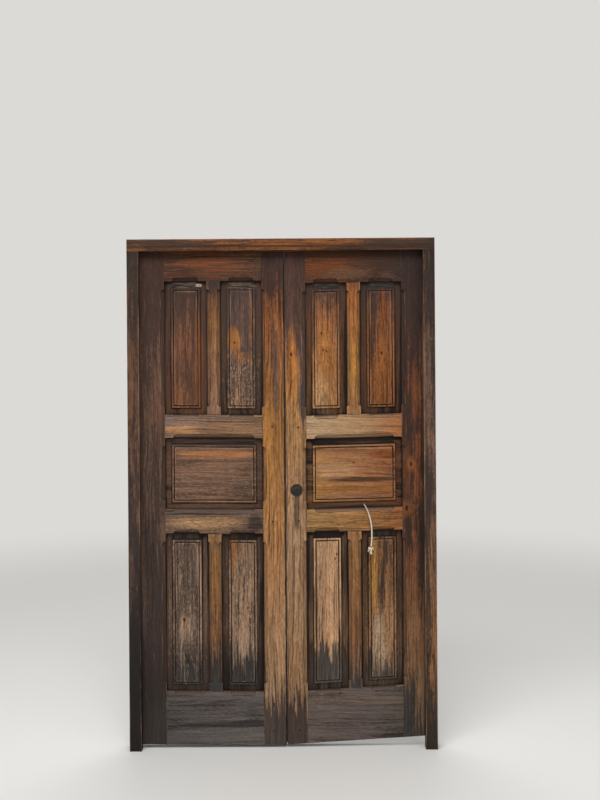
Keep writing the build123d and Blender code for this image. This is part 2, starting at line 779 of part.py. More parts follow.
def knot_body(radius, height):
    """A plain rounded lump along Z from a flat top, with eight sides."""
    rings = []
    for share in knot_girths:
        turn = math.acos(1 - 2 * share)
        rings.append([(radius * math.sin(turn) * math.cos(math.tau * i / peg_sides),
                       radius * math.sin(turn) * math.sin(math.tau * i / peg_sides),
                       height * share) for i in range(peg_sides)])
    ends = [[(x, y, share * height) for x, y, z in ring] for share, ring in ((0, rings[0]), (1, rings[-1]))]
    return flat_sided([ends[0], *rings[1:-1], ends[1]])


def pull_cord_knot():
    """The plain body of the knot that hangs at the string's end, square to the string."""
    end = Vector(*cord_route[-1])
    hang = end - Vector(*cord_route[-2])
    return Plane(origin=end, z_dir=hang.normalized()) * knot_body(knot_radius, knot_height)


def pull_cord_stop_knot():
    """The knot behind the panel and the string's stretch through the hole."""
    x, mouth_y, z = cord_route[0]
    stub = cross_rod(x, z, cord_radius, mouth_y, panel_back_y + over)
    lump = knot_body(stop_knot_radius, 2 * stop_knot_radius)
    return Plane(origin=(x, panel_back_y, z), z_dir=(0, 1, 0)) * lump + stub


def set_out_leaves():
    """Both leaves with their rails."""
    left = Leaf("left", -1, left_hinge_stile_width, left_meeting_stile_width, left_muntin_width,
                left_outer_opening_width, left_peg_from_shoulder)
    left.set_rails(
        Rail(left.shoulders, left_bottom_rail_low, left_bottom_rail_low + left_bottom_rail_height,
             left_bottom_rail_rise, left_bottom_rail_rise, 2),
        Rail(left.shoulders, left_lower_lock_rail_low, left_lower_lock_rail_low + left_lower_lock_rail_height,
             left_lower_lock_rail_rise, left_lower_lock_rail_rise, 1),
        Rail(left.shoulders, left_upper_lock_rail_low, left_upper_lock_rail_low + left_upper_lock_rail_height,
             left_upper_lock_rail_rise, left_upper_lock_rail_rise, 1),
        Rail(left.shoulders, leaf_top - left_top_rail_height, leaf_top, left_top_rail_rise, 0, 1))
    right = Leaf("right", 1, right_hinge_stile_width, right_meeting_stile_width, right_muntin_width,
                 right_outer_opening_width, right_peg_from_shoulder)
    right.set_rails(
        Rail(right.shoulders, right_bottom_rail_low, right_bottom_rail_low + right_bottom_rail_height,
             right_bottom_rail_rise, right_bottom_rail_rise, 2),
        Rail(right.shoulders, right_lower_lock_rail_low, right_lower_lock_rail_low + right_lower_lock_rail_height,
             right_lower_lock_rail_rise, right_lower_lock_rail_rise, 1),
        Rail(right.shoulders, right_upper_lock_rail_low, right_upper_lock_rail_low + right_upper_lock_rail_height,
             right_upper_lock_rail_rise, right_upper_lock_rail_rise, 1),
        Rail(right.shoulders, leaf_top - right_top_rail_height, leaf_top, right_top_rail_rise, 0, 1))
    return left, right


# Every piece, by the name of its node
left_leaf, right_leaf = set_out_leaves()
jamb = left_jamb()
frame_pegs = frame_peg(frame_peg_diameter / 2, frame_peg_length)
pieces = {
    "left_jamb": jamb,
    "right_jamb": mirror(jamb, Plane.YZ),
    "head": head(),
    "frame_pegs": [frame_pegs, mirror(frame_pegs, Plane.YZ)],
}
pieces.update(leaf_pieces(left_leaf))
pieces.update(leaf_pieces(right_leaf))
pieces["right_meeting_stile"] -= cylinder_bore()
pieces["right_panel_middle"] -= cord_hole()
pieces.update(hinge_pieces())
pieces["lock_case"] = lock_case()
pieces["lock_bolt"] = lock_bolt()
pieces["lock_cylinder"] = lock_cylinder()
pieces["lock_plug"] = lock_plug()
pieces["lock_keeper"] = lock_keeper()
pieces["left_top_bolt"] = slide_bolt(top_bolt_tip, -1)
pieces["left_bottom_bolt"] = slide_bolt(bottom_bolt_tip, 1)
pieces["left_bolt_guides"] = bolt_guides()
pieces["top_bolt_staple"] = top_bolt_staple()
pieces["pull_cord"] = pull_cord()
pieces["pull_cord_knot"] = pull_cord_knot()
pieces["pull_cord_stop_knot"] = pull_cord_stop_knot()

os.makedirs("parts", exist_ok=True)
for name, piece in pieces.items():
    solids = piece if isinstance(piece, list) else [piece]
    solids = [solid for item in solids for solid in item.solids()]
    shape = solids[0] if len(solids) == 1 else Compound(children=solids)
    export_step(shape, "parts/" + name + ".step")
print(len(pieces), "nodes")
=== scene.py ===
import bmesh
import bpy
import math
from functools import partial
from mathutils import Matrix, Vector, noise
from types import SimpleNamespace


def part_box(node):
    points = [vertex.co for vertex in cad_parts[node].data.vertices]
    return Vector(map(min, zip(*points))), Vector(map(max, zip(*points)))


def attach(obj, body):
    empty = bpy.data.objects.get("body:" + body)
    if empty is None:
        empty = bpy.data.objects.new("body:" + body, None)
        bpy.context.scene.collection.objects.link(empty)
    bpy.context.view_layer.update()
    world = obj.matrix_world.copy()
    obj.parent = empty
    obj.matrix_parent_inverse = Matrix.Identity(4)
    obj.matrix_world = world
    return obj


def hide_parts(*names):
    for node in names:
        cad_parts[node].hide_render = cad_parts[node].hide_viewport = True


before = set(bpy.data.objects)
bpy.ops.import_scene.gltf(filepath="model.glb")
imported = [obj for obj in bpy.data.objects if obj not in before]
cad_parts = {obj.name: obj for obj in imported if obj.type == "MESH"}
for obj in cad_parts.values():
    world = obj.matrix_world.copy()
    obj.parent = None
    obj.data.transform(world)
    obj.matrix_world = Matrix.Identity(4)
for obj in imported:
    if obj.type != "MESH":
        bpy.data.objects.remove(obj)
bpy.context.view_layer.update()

# The jambs: two long boards of pine, rebated for the leaves and pegged to the head. They were
# stained dark brown once. Rain has bleached the stain in streaks, and splashes have turned
# their feet nearly black.


def linear(hex_colour, alpha=1.0):
    """A colour written as sRGB hex, as the linear values that a shader takes."""
    values = [int(hex_colour[i:i + 2], 16) / 255 for i in (1, 3, 5)]
    return [v / 12.92 if v <= 0.04045 else ((v + 0.055) / 1.055) ** 2.4 for v in values] + [alpha]


def add_node(tree, kind, inputs=(), **settings):
    """Adds a node with its settings and links.

    kind: the node's type, without the word ShaderNode at its start.
    inputs: for each, a value, a colour in hex, a socket, or a node whose first output in use is taken.
    """
    node = tree.nodes.new(kind if "Node" in kind else "ShaderNode" + kind)
    for name, value in settings.items():
        setattr(node, name, value)
    for key, value in dict(inputs).items():
        socket = node.inputs[key]
        if isinstance(key, str):
            socket = next(s for s in node.inputs if s.enabled and s.name == key)
        if isinstance(value, bpy.types.Node):
            value = next(s for s in value.outputs if s.enabled)
        if isinstance(value, bpy.types.NodeSocket):
            tree.links.new(value, socket)
        else:
            socket.default_value = linear(value) if isinstance(value, str) else value
    return node


def new_material(name):
    """A material with nothing in its node tree yet, and the function that adds a node to that tree."""
    material = bpy.data.materials.new(name)
    material.use_nodes = True
    material.node_tree.nodes.clear()
    return material, partial(add_node, material.node_tree)


def to_a_metre(size_mm, digits=0):
    """How many times a pattern of a real size, in millimetres, comes in a metre."""
    return round(1000 / size_mm, digits)


def along_ramp(node, place, stops):
    """Colours or grey levels at places along a board, in metres, blended between them."""
    low, high = stops[0][0], stops[-1][0]
    ramp = node("ValToRGB", {0: node("MapRange", {0: place, 1: low, 2: high})})
    elements = ramp.color_ramp.elements
    while len(elements) < len(stops):
        elements.new(0.5)
    for element, (at, value) in zip(elements, stops):
        element.position = (at - low) / (high - low)
        element.color = linear(value) if isinstance(value, str) else (value, value, value, 1)
    return ramp


ring_spacing, ring_slant, ring_offset = 0.0055, 0.055, 0.03
wander_by = 0.008


def sawn_board(node, name, grain, seed):
    """What one board's wood is like: its place and grain, and the patterns that wear and dirt follow."""
    where = node("TexCoord")
    point = where.outputs["Object"]
    x, y, z = node("SeparateXYZ", {0: point}).outputs
    facing = node("SeparateXYZ", {0: where.outputs["Normal"]}).outputs
    upright = grain == "z"

    def grain_scale(across, lengthwise):
        return (across, across, lengthwise) if upright else (lengthwise, across, across)

    # Each board is cut from another place in the tree, and its grain wanders over half a metre
    cut_from = [seed * step for step in (1.71, 0.43, 2.37)]
    shifted = node("VectorMath", {0: point, 1: cut_from}, operation="ADD")
    wander_scale = grain_scale(to_a_metre(143), to_a_metre(455, 1))
    slow = node("VectorMath", {0: shifted, 1: wander_scale}, operation="MULTIPLY")
    wander = node("TexNoise", {"Vector": slow, "Scale": 1.0, "Detail": 2.0})
    wander = node("MapRange", {0: wander, 1: 0.3, 2: 0.7, 3: -wander_by, 4: wander_by})
    sideways = (1, 0, 0) if upright else (0, 0, 1)
    push = node("VectorMath", {0: sideways, "Scale": wander}, operation="SCALE")
    grained = node("VectorMath", {0: shifted, 1: push}, operation="ADD")

    def streaks(width_mm, length_mm, detail, rough):
        scale = grain_scale(to_a_metre(width_mm), to_a_metre(length_mm, 1))
        stretched = node("VectorMath", {0: grained, 1: scale}, operation="MULTIPLY")
        return node("TexNoise", {"Vector": stretched, "Scale": 1.0, "Detail": detail, "Roughness": rough})

    # Streaks of three widths, specks the size of a grain of rice, and patches of worn stain about
    # a hand wide. Real grain is half as wide as the finest streaks, which are as fine as can show.
    wood = SimpleNamespace(
        node=node, point=point, shifted=shifted, y=y, z=z, along=z if upright else x, upright=upright,
        facing=facing, arris=node("Attribute", attribute_name="arris").outputs["Fac"], streaks=streaks,
        fine=streaks(4.65, 125, 4.0, 0.7), jagged=streaks(10.9, 238, 4.0, 0.65),
        coarse=streaks(36, 770, 3.0, 0.55), speck=streaks(5.26, 16.67, 2.0, 0.6),
        patch=streaks(91, 312, 5.0, 0.62))

    # Yearly rings, cut at a slant, so that they run into long points along the board's middle
    axis = 0 if upright else 2
    low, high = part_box(name)
    centre = cut_from[axis] + (low[axis] + high[axis]) / 2
    across = node("SeparateXYZ", {0: grained}).outputs[axis]
    off_heart = node("Math", {0: across, 1: centre}, operation="SUBTRACT")
    rise = node("Math", {0: wood.along, 1: ring_slant, 2: ring_offset}, operation="MULTIPLY_ADD")
    heart = node("CombineXYZ", {0: off_heart, 1: rise, 2: y})
    heart = node("VectorMath", {0: heart}, operation="LENGTH").outputs["Value"]
    rings = node("Math", {0: heart, 1: 1 / ring_spacing}, operation="MULTIPLY")
    rings = node("Math", {0: wood.jagged, 1: 0.8, 2: rings}, operation="MULTIPLY_ADD")
    rings = node("Math", {0: rings}, operation="FRACT")
    wood.latewood = node("MapRange", {0: rings, 1: 0.35, 2: 0.97}, interpolation_type="SMOOTHSTEP")
    return wood


def stain_left(wood, places):
    """The colour of stain and bare wood along a board, and how bare it is: each pattern has its weight."""
    node = wood.node
    share, stained, bared = [
        along_ramp(node, wood.along, [(place[0], place[column]) for place in places]) for column in (3, 1, 2)]
    worn = 0.0
    for pattern, weight in ((wood.patch, 0.42), (wood.jagged, 0.36), (wood.coarse, 0.42), (wood.fine, 0.22),
                            (share, 0.62), (wood.arris, 0.10), (wood.speck, 0.16)):
        worn = node("Math", {0: pattern, 1: weight, 2: worn}, operation="MULTIPLY_ADD")
    bareness = node("MapRange", {0: worn, 1: 1.05, 2: 1.16}, interpolation_type="SMOOTHSTEP")
    return node("Mix", {"Factor": bareness, "A": stained, "B": bared}, data_type="RGBA"), bareness


def distance_from(wood, x, z, squeeze, fringe, fringe_width):
    """How far each point lies from a spot, which is squeezed and has a fringe drawn by a pattern."""
    offset = wood.node("VectorMath", {0: wood.point, 1: (x, 0, z)}, operation="SUBTRACT")
    offset = wood.node("VectorMath", {0: offset, 1: squeeze}, operation="MULTIPLY")
    distance = wood.node("VectorMath", {0: offset}, operation="LENGTH").outputs["Value"]
    return wood.node("Math", {0: fringe, 1: fringe_width, 2: distance}, operation="MULTIPLY_ADD")


def patches_on(wood, colour, patches):
    """Broad patches of another colour, with edges drawn out along the grain."""
    for x, z, half_width, half_height, patch_colour, strength in patches:
        distance = distance_from(wood, x, z, (1 / half_width, 0, 1 / half_height), wood.jagged, 1.7)
        covered = wood.node("MapRange", {0: distance, 1: 2.05, 2: 1.55, 4: strength})
        colour = wood.node("Mix", {"Factor": covered, "A": colour, "B": patch_colour}, data_type="RGBA")
    return colour


def light_and_dark(wood):
    """How the streaks and rings lighten and darken both the stain and the wood."""
    level = 1.0
    for pattern, low, high, darkest, lightest in (
            (wood.fine, 0.38, 0.62, 0.74, 1.18), (wood.coarse, 0.30, 0.70, 0.80, 1.20),
            (wood.jagged, 0.36, 0.64, 0.84, 1.12), (wood.speck, 0.36, 0.64, 0.80, 1.18),
            (wood.latewood, 0.0, 1.0, 1.05, 0.86)):
        swing = wood.node("MapRange", {0: pattern, 1: low, 2: high, 3: darkest, 4: lightest})
        level = wood.node("Math", {0: level, 1: swing}, operation="MULTIPLY")
    return level


def drips_on(wood, contrast):
    """Fine dark runs of old stain, along the grain."""
    runs = wood.streaks(7.15, 417, 3.0, 0.6)
    return [(wood.node("MapRange", {0: runs, 1: 0.555, 2: 0.60, 4: 0.60 * contrast}), "#2a1b12")]


def knots_in(wood, knots):
    """Small dark knots and nail holes, with a halo of orange resin round a knot."""
    layers = []
    squeeze = (1, 0, 0.6) if wood.upright else (0.6, 0, 1)
    for x, z, radius, halo_strength in knots:
        distance = distance_from(wood, x, z, squeeze, wood.fine, radius * 0.9)
        halo = wood.node("MapRange", {0: distance, 1: radius * 3.6, 2: radius * 1.3, 4: halo_strength})
        core = wood.node("MapRange", {0: distance, 1: radius * 1.45, 2: radius, 4: 0.92})
        layers += [(halo, "#8f5320"), (core, "#20120b")]
    return layers


def flecks_on(wood, strength, top, colour):
    """Flecks of lifted grain, up to a height where they thin out."""
    spots = wood.streaks(3.33, 16.13, 2.0, 0.5)
    spots = wood.node("MapRange", {0: spots, 1: 0.56, 2: 0.64, 4: strength})
    below = wood.node("Math", {0: wood.coarse, 1: 0.12, 2: wood.z}, operation="MULTIPLY_ADD")
    below = wood.node("MapRange", {0: below, 1: top + 0.11, 2: top + 0.02})
    return [(wood.node("Math", {0: spots, 1: below}, operation="MULTIPLY"), colour)]


def splashes_on(wood, height, colour, strength):
    """Splashes soaked into the grain: a ragged, nearly black tide line, and greyer wood below it."""
    node = wood.node
    by_jagged, by_fine = 0.55, 0.20
    ragged = node("Math", {0: wood.jagged, 1: by_jagged, 2: wood.z}, operation="MULTIPLY_ADD")
    ragged = node("Math", {0: wood.fine, 1: by_fine, 2: ragged}, operation="MULTIPLY_ADD")
    tide = height + 0.5 * (by_jagged + by_fine)
    soaked = node("MapRange", {0: ragged, 1: tide + 0.022, 2: tide - 0.006, 4: strength})
    dried = node("MapRange", {0: wood.fine, 1: 0.35, 2: 0.65})
    grey = node("Mix", {"Factor": dried, "A": "#2c2927", "B": colour}, data_type="RGBA")
    at_tide = node("MapRange", {0: ragged, 1: tide - 0.11, 2: tide - 0.02, 4: 0.55})
    grey = node("Mix", {"Factor": at_tide, "A": grey, "B": "#211b17"}, data_type="RGBA")
    return [(soaked, grey)]


def dirt_and_shade_on(wood, grime, dust):
    """Dirt and painted shade in the quirks and grooves, thinning out on the slopes, and dust on what faces
    up.
    """
    node = wood.node
    # Painted shade mixed with dirt: the deeper a point lies behind the front, the darker it is painted
    amount = along_ramp(node, wood.y, grime)
    on_slopes = node("MapRange", {0: amount, 1: 0.05, 2: 0.30})
    face_up = node("MapRange", {0: wood.facing["Z"], 1: 0.04, 2: 0.10})
    # A painted shadow of the rail above: margin slopes that tilt up under it are painted darker
    rail_shadow = node("Math", {0: face_up, 1: 0.36}, operation="MULTIPLY")
    amount = node("Math", {0: rail_shadow, 1: on_slopes, 2: amount}, operation="MULTIPLY_ADD")
    patchy = node("MapRange", {0: wood.coarse, 1: 0.32, 2: 0.68, 3: -0.26, 4: 0.26})
    patchy = node("Math", {0: wood.jagged, 1: 0.8, 2: patchy}, operation="MULTIPLY_ADD")
    patchy = node("Math", {0: patchy, 1: 0.40}, operation="SUBTRACT")
    dirt_and_shade_share = node("Math", {0: patchy, 1: on_slopes, 2: amount}, operation="MULTIPLY_ADD", use_clamp=True)
    # From brown dirt to the near-black of painted shade
    dirt_and_shade_colour = node("Mix", {"Factor": dirt_and_shade_share, "A": "#5a3c2a", "B": "#150e0a"}, data_type="RGBA")
    line_scale = [to_a_metre(size_mm) for size_mm in (62.5, 25, 5.26)]
    lines = node("VectorMath", {0: wood.shifted, 1: line_scale}, operation="MULTIPLY")
    lines = node("TexNoise", {"Vector": lines, "Scale": 1.0, "Detail": 3.0, "Roughness": 0.6})
    lines = node("MapRange", {0: lines, 1: 0.47, 2: 0.60, 4: dust})
    lines = node("Math", {0: lines, 1: face_up}, operation="MULTIPLY")
    ledge = node("MapRange", {0: wood.facing["Z"], 1: 0.35, 2: 0.8, 4: 0.40})
    return [(dirt_and_shade_share, dirt_and_shade_colour), (lines, "#6a5644"), (ledge, "#6b5646")]


def rubbed_and_highlit_edges(wood):
    """Edges rubbed pale by wear, where hands and rain reach, and lit with a painted highlight; both fade out
    right under the head.
    """
    rub_and_highlight = wood.node("MapRange", {0: wood.jagged, 1: 0.46, 2: 0.60, 4: 0.55})
    rub_and_highlight = wood.node("Math", {0: wood.arris, 1: rub_and_highlight}, operation="MULTIPLY")
    clear_of_head = wood.node("MapRange", {0: wood.z, 1: 1.88, 2: 1.97, 3: 1.0, 4: 0.2})
    return [(wood.node("Math", {0: rub_and_highlight, 1: clear_of_head}, operation="MULTIPLY"), "#a58b70")]


def drying_cracks(wood):
    """Where cracks run, a fraction of a millimetre wide and as long as a hand."""
    crack = wood.node("Math", {0: wood.streaks(21.7, 900, 1.0, 0.4), 1: 0.5}, operation="SUBTRACT")
    crack = wood.node("Math", {0: crack}, operation="ABSOLUTE")
    crack = wood.node("MapRange", {0: crack, 1: 0.010, 2: 0.002})
    here_and_there = wood.node("MapRange", {0: wood.patch, 1: 0.50, 2: 0.58})
    return wood.node("Math", {0: crack, 1: here_and_there}, operation="MULTIPLY")


def indoor_varnish(wood, level):
    """The side towards the room was never rained on: an even brown varnish, dulled by age."""
    indoors = wood.node("MapRange", {0: wood.facing["Y"], 1: 0.35, 2: 0.65})
    varnish = wood.node("MapRange", {0: wood.coarse, 1: 0.3, 2: 0.7})
    varnish = wood.node("Mix", {"Factor": varnish, "A": "#4a3020", "B": "#6e4c30"}, data_type="RGBA")
    return [(indoors, wood.node("HueSaturation", {"Color": varnish, "Value": level}))]


def old_pine(name, grain, places, seed, grime=None, splash=None, patches=(), knots=(), flecks=None,
             contrast=1.0, dust=0.0):
    """Pine, stained dark long ago and weathered since: silky where bare, dull where the stain holds.

    places: place along the grain in metres, colour of the stain, colour of bare wood, share of bare wood.
    grime: depth in metres from front to back, how much dirt and painted shade lie there.
    splash: height where the splashes end, their colour and their strength.
    patches: x, z, half width, half height, colour, strength. knots: x, z, radius, strength of the halo.
    flecks: strength of the flecks of lifted grain, the height where they end and their colour.
    contrast: how strongly the streaks and rings show. dust: how much lies in lines under the rail above.
    """
    material, node = new_material(name)
    wood = sawn_board(node, name, grain, seed)
    colour, bareness = stain_left(wood, places)
    colour = patches_on(wood, colour, patches)
    level = light_and_dark(wood)
    colour = node("HueSaturation", {"Color": colour, "Value": level, "Fac": contrast})

    # What lies on the wood, with painted shade and highlight, from the bottom up: the share that each covers,
    # and its colour
    layers = drips_on(wood, contrast) + knots_in(wood, knots)
    if flecks:
        layers += flecks_on(wood, *flecks)
    if splash:
        layers += splashes_on(wood, *splash)
    if grime:
        layers += dirt_and_shade_on(wood, grime, dust)
    crack = drying_cracks(wood)
    cracked = node("Math", {0: crack, 1: 0.75}, operation="MULTIPLY")
    layers += rubbed_and_highlit_edges(wood) + [(cracked, "#17110e")] + indoor_varnish(wood, level)
    for share, tint in layers:
        colour = node("Mix", {"Factor": share, "A": colour, "B": tint}, data_type="RGBA")

    relief = wood.fine
    for pattern, height in ((wood.latewood, 0.35), (wood.jagged, 0.8), (crack, -1.2)):
        relief = node("Math", {0: pattern, 1: height, 2: relief}, operation="MULTIPLY_ADD")
    bump = node("Bump", {"Height": relief, "Strength": 0.55, "Distance": 0.0012})
    dull = node("MapRange", {0: bareness, 3: 0.68, 4: 0.84})
    surface = node("BsdfPrincipled", {
        "Base Color": colour, "Roughness": dull, "Normal": bump, "Specular IOR Level": 0.22})
    node("OutputMaterial", {"Surface": surface})
    return material


def whole_faces(name):
    """A copy of a CAD piece, its loose triangles merged into whole faces."""
    copy = bmesh.new()
    copy.from_mesh(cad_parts[name].data)
    bmesh.ops.remove_doubles(copy, verts=copy.verts, dist=1e-5)
    bmesh.ops.dissolve_limit(copy, angle_limit=math.radians(1), verts=copy.verts, edges=copy.edges)
    return copy


def smooth_mesh(shape, name, sharp_from=None):
    """A smooth mesh of a shape. Edges that turn by more degrees than sharp_from stay sharp."""
    for face in shape.faces:
        face.smooth = True
    mesh = bpy.data.meshes.new(name)
    shape.normal_update()
    shape.to_mesh(mesh)
    shape.free()
    if sharp_from:
        mesh.set_sharp_from_angle(angle=math.radians(sharp_from))
    return mesh


def new_object(name, data):
    """Adds an object to the scene for its mesh, curve, lamp or camera."""
    thing = bpy.data.objects.new(name, data)
    bpy.context.scene.collection.objects.link(thing)
    return thing


def put_in_place(name, shape, body, material=None, replaced=None):
    """Puts a finished mesh or curve on its body, in place of a CAD piece where it replaces one."""
    if material:
        shape.materials.append(material)
    piece = new_object(name, shape)
    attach(piece, body)
    if replaced:
        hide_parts(replaced)
    return piece


board_sharp_from = 27
arris_angle = 0.6
shortest_arris = 0.006
worn_band = 0.004
worn_depth = 0.0022
cut_every = 0.022
waves_a_metre, nicks_a_metre = 17.0, 55.0


def worn_board(name, grain, seed, wear, closing):
    """A CAD board's mesh with its front arrises rounded and nibbled by weather and hands.

    closing: how far, in metres, swollen fibres stand out along the back of a bevelled closing edge.
    """
    board = whole_faces(name)
    low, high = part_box(name)
    front = min(v.co.y for v in board.verts)

    def is_arris(edge):
        on_front = all(abs(v.co.y - front) < 1e-4 for v in edge.verts)
        long_enough = edge.calc_length() > shortest_arris
        return on_front and long_enough and edge.calc_face_angle_signed(0) > arris_angle

    inward_planes = {}
    for edge in board.edges:
        if is_arris(edge):
            flank = min(edge.link_faces, key=lambda face: abs(face.normal.y))
            inward = Vector((-flank.normal.x, 0, -flank.normal.z)).normalized()
            place = inward.dot(edge.verts[0].co)
            inward_planes[tuple(round(v, 3) for v in (*inward, place))] = (inward, place)

    def cut_across(point, normal):
        everything = board.verts[:] + board.edges[:] + board.faces[:]
        bmesh.ops.bisect_plane(board, geom=everything, dist=1e-6, plane_co=point, plane_no=normal)

    # Cuts beside the arrises and across the grain give the wear points to move
    for inward, place in inward_planes.values():
        cut_across(inward * (place + worn_band), inward)
    cut_across((0, front + worn_depth, 0), (0, 1, 0))
    axis = 2 if grain == "z" else 0
    direction = Vector((0, 0, 1) if grain == "z" else (1, 0, 0))
    length = high[axis] - low[axis]
    count = int(length / cut_every)
    for i in range(1, count):
        jitter = 0.3 * noise.noise(Vector((seed * 3.1, i * 1.37, 0.5)))
        cut_across(direction * (low[axis] + (i + jitter) * length / count), direction)

    nearness = board.verts.layers.float.new("arris")
    moves = []
    for vert in board.verts:
        sharp = [edge for edge in vert.link_edges if is_arris(edge)]
        if sharp:
            vert[nearness] = 1.0
            normal = sum((face.normal for edge in sharp for face in edge.link_faces), Vector())
            slow = noise.noise(vert.co * waves_a_metre + Vector((seed, 0, 0)))
            nick = max(0.0, noise.noise(vert.co * nicks_a_metre + Vector((0, seed, 0))) - 0.25)
            moves.append((vert, -normal.normalized() * wear * (0.75 + 0.9 * slow + 2.6 * nick)))
    for vert, move in moves:
        vert.co += move
    edge_x = high[0] if closing > 0 else low[0]
    for vert in board.verts:
        if closing and abs(vert.co.x - edge_x) < 0.0003 and vert.co.y > high[1] - 0.001:
            vert.co.x += closing
    return smooth_mesh(board, "worn_" + name, board_sharp_from)


def fit_board(name, body, slot, grain, places, seed, wear=0.0011, closing=0.0, **finish):
    """Puts a weathered board in its place on a body of the door."""
    pine = old_pine(name, grain, places, seed, **finish)
    board = worn_board(name, grain, seed, wear, closing)
    put_in_place("worn_" + name, board, body, pine, replaced=name)


fit_board("left_jamb", "frame", "frame_wood", "z", [
    (0.0, "#191514", "#2f2826", 0.30), (0.45, "#231c1a", "#3f322d", 0.35),
    (1.0, "#3c2f2b", "#624738", 0.50), (1.6, "#3b2c24", "#614331", 0.55),
    (2.1, "#2a1d16", "#463024", 0.35)], seed=1.3, wear=0.0014, contrast=0.75)
fit_board("right_jamb", "frame", "frame_wood", "z", [
    (0.0, "#2d241e", "#604835", 0.35), (0.5, "#453326", "#7e5536", 0.45),
    (1.2, "#3e2f28", "#674d3d", 0.50), (1.7, "#372821", "#5c4436", 0.50),
    (2.1, "#271a13", "#4b3120", 0.35)], seed=2.9, wear=0.0014)

# The head: one board of pine over both jambs. Little rain reaches it, so it has kept more of
# its reddish brown stain, worn through in a few long streaks.
fit_board("head", "frame", "frame_wood", "x", [
    (-0.65, "#3f291b", "#664123", 0.45), (-0.3, "#452917", "#744522", 0.50),
    (0.2, "#452815", "#744420", 0.50), (0.65, "#2f1f15", "#563722", 0.25)], seed=4.1, wear=0.0016,
    contrast=0.85, patches=[(0.0, 2.128, 0.55, 0.006, "#271810", 0.7)])

# The hinge stiles: the outer uprights of the leaves, planed pine with the rails' tenons
# pegged into them. They stand in the frame's shade and have kept most of their dark stain.
# Dirt and painted shade at each depth of a stile, rail or muntin: dark in the rounded front edges, light on
# the chamfers, darkest deep down by the panels
member_grime = [(-0.0183, 0.0), (-0.0180, 0.80), (-0.0167, 0.80), (-0.0162, 0.14), (-0.0090, 0.22),
                (-0.0068, 0.90), (-0.0048, 1.0)]


def fit_leaf_board(name, grain, places, seed, grime=member_grime, **finish):
    """Puts a board in its place on the leaf that its name begins with."""
    leaf = name.split("_")[0] + "_leaf"
    fit_board(name, leaf, leaf + "_wood", grain, places, seed, grime=grime, **finish)


fit_leaf_board("left_hinge_stile", "z", [
    (0.0, "#1e1a18", "#302622", 0.30), (0.5, "#3c2f2b", "#564139", 0.45),
    (1.1, "#423229", "#5c4537", 0.45), (1.7, "#3e2b23", "#5a4031", 0.45),
    (2.1, "#382218", "#56321f", 0.30)], seed=5.7, contrast=0.75, splash=(0.22, "#443a34", 0.75),
    patches=[(-0.53, 1.45, 0.03, 0.16, "#684638", 0.5)])
fit_leaf_board("right_hinge_stile", "z", [
    (0.0, "#323035", "#5c4d41", 0.45), (0.35, "#403125", "#77563a", 0.65),
    (0.8, "#37251b", "#683f26", 0.48), (1.3, "#392419", "#6c3d21", 0.50),
    (1.7, "#352118", "#5c3724", 0.38), (2.1, "#271814", "#44291e", 0.25)], seed=7.1, contrast=0.85,
    splash=(0.10, "#45413f", 0.7), patches=[(0.535, 1.16, 0.012, 0.12, "#74421f", 0.45),
    (0.565, 1.5, 0.012, 0.12, "#7e4623", 0.5), (0.56, 0.45, 0.03, 0.14, "#835e41", 0.6),
    (0.588, 0.20, 0.022, 0.20, "#7d6049", 0.7), (0.512, 0.13, 0.036, 0.15, "#393433", 0.9)],
    knots=[(0.548, 1.203, 0.008, 0.6), (0.528, 1.015, 0.009, 0.5)])

# The meeting stiles: the inner uprights, handled every day. Hands have rubbed the stain off
# between knee and eye height, down to honey-coloured wood, and the right one carries the lock.
closing_swell = 0.00022
fit_leaf_board("left_meeting_stile", "z", [
    (0.0, "#3f3632", "#63544a", 0.60), (0.3, "#6b4e3a", "#9f7b5b", 0.82),
    (0.9, "#744c2f", "#a27144", 0.85), (1.4, "#53382b", "#8c5f31", 0.70),
    (1.8, "#42281b", "#854e29", 0.60), (2.1, "#331d15", "#4a2818", 0.30)], seed=8.3,
    closing=closing_swell, splash=(0.215, "#4d423b", 0.85),
    patches=[(-0.025, 1.62, 0.018, 0.22, "#5d463a", 0.7), (-0.055, 1.30, 0.022, 0.22, "#956532", 0.7)],
    knots=[(-0.041, 0.186, 0.005, 0.3)])
fit_leaf_board("right_meeting_stile", "z", [
    (0.0, "#473a37", "#6c594f", 0.65), (0.3, "#624631", "#936f4e", 0.80),
    (0.9, "#6d5138", "#9f7b5c", 0.80), (1.4, "#644b38", "#9f7346", 0.75),
    (1.75, "#51392c", "#845637", 0.50), (2.1, "#3b221b", "#593320", 0.25)], seed=9.9,
    closing=-closing_swell, splash=(0.19, "#43352f", 0.85),
    patches=[(0.061, 1.00, 0.010, 0.085, "#45352e", 0.75), (0.045, 1.62, 0.020, 0.15, "#ae6c2e", 0.75),
    (0.09, 1.62, 0.018, 0.2, "#4c3d38", 0.8), (0.092, 1.475, 0.020, 0.10, "#4a403d", 0.8)],
    knots=[(0.042, 1.672, 0.006, 0.3), (0.041, 1.129, 0.0025, 0.0), (0.042, 1.062, 0.0025, 0.0)])

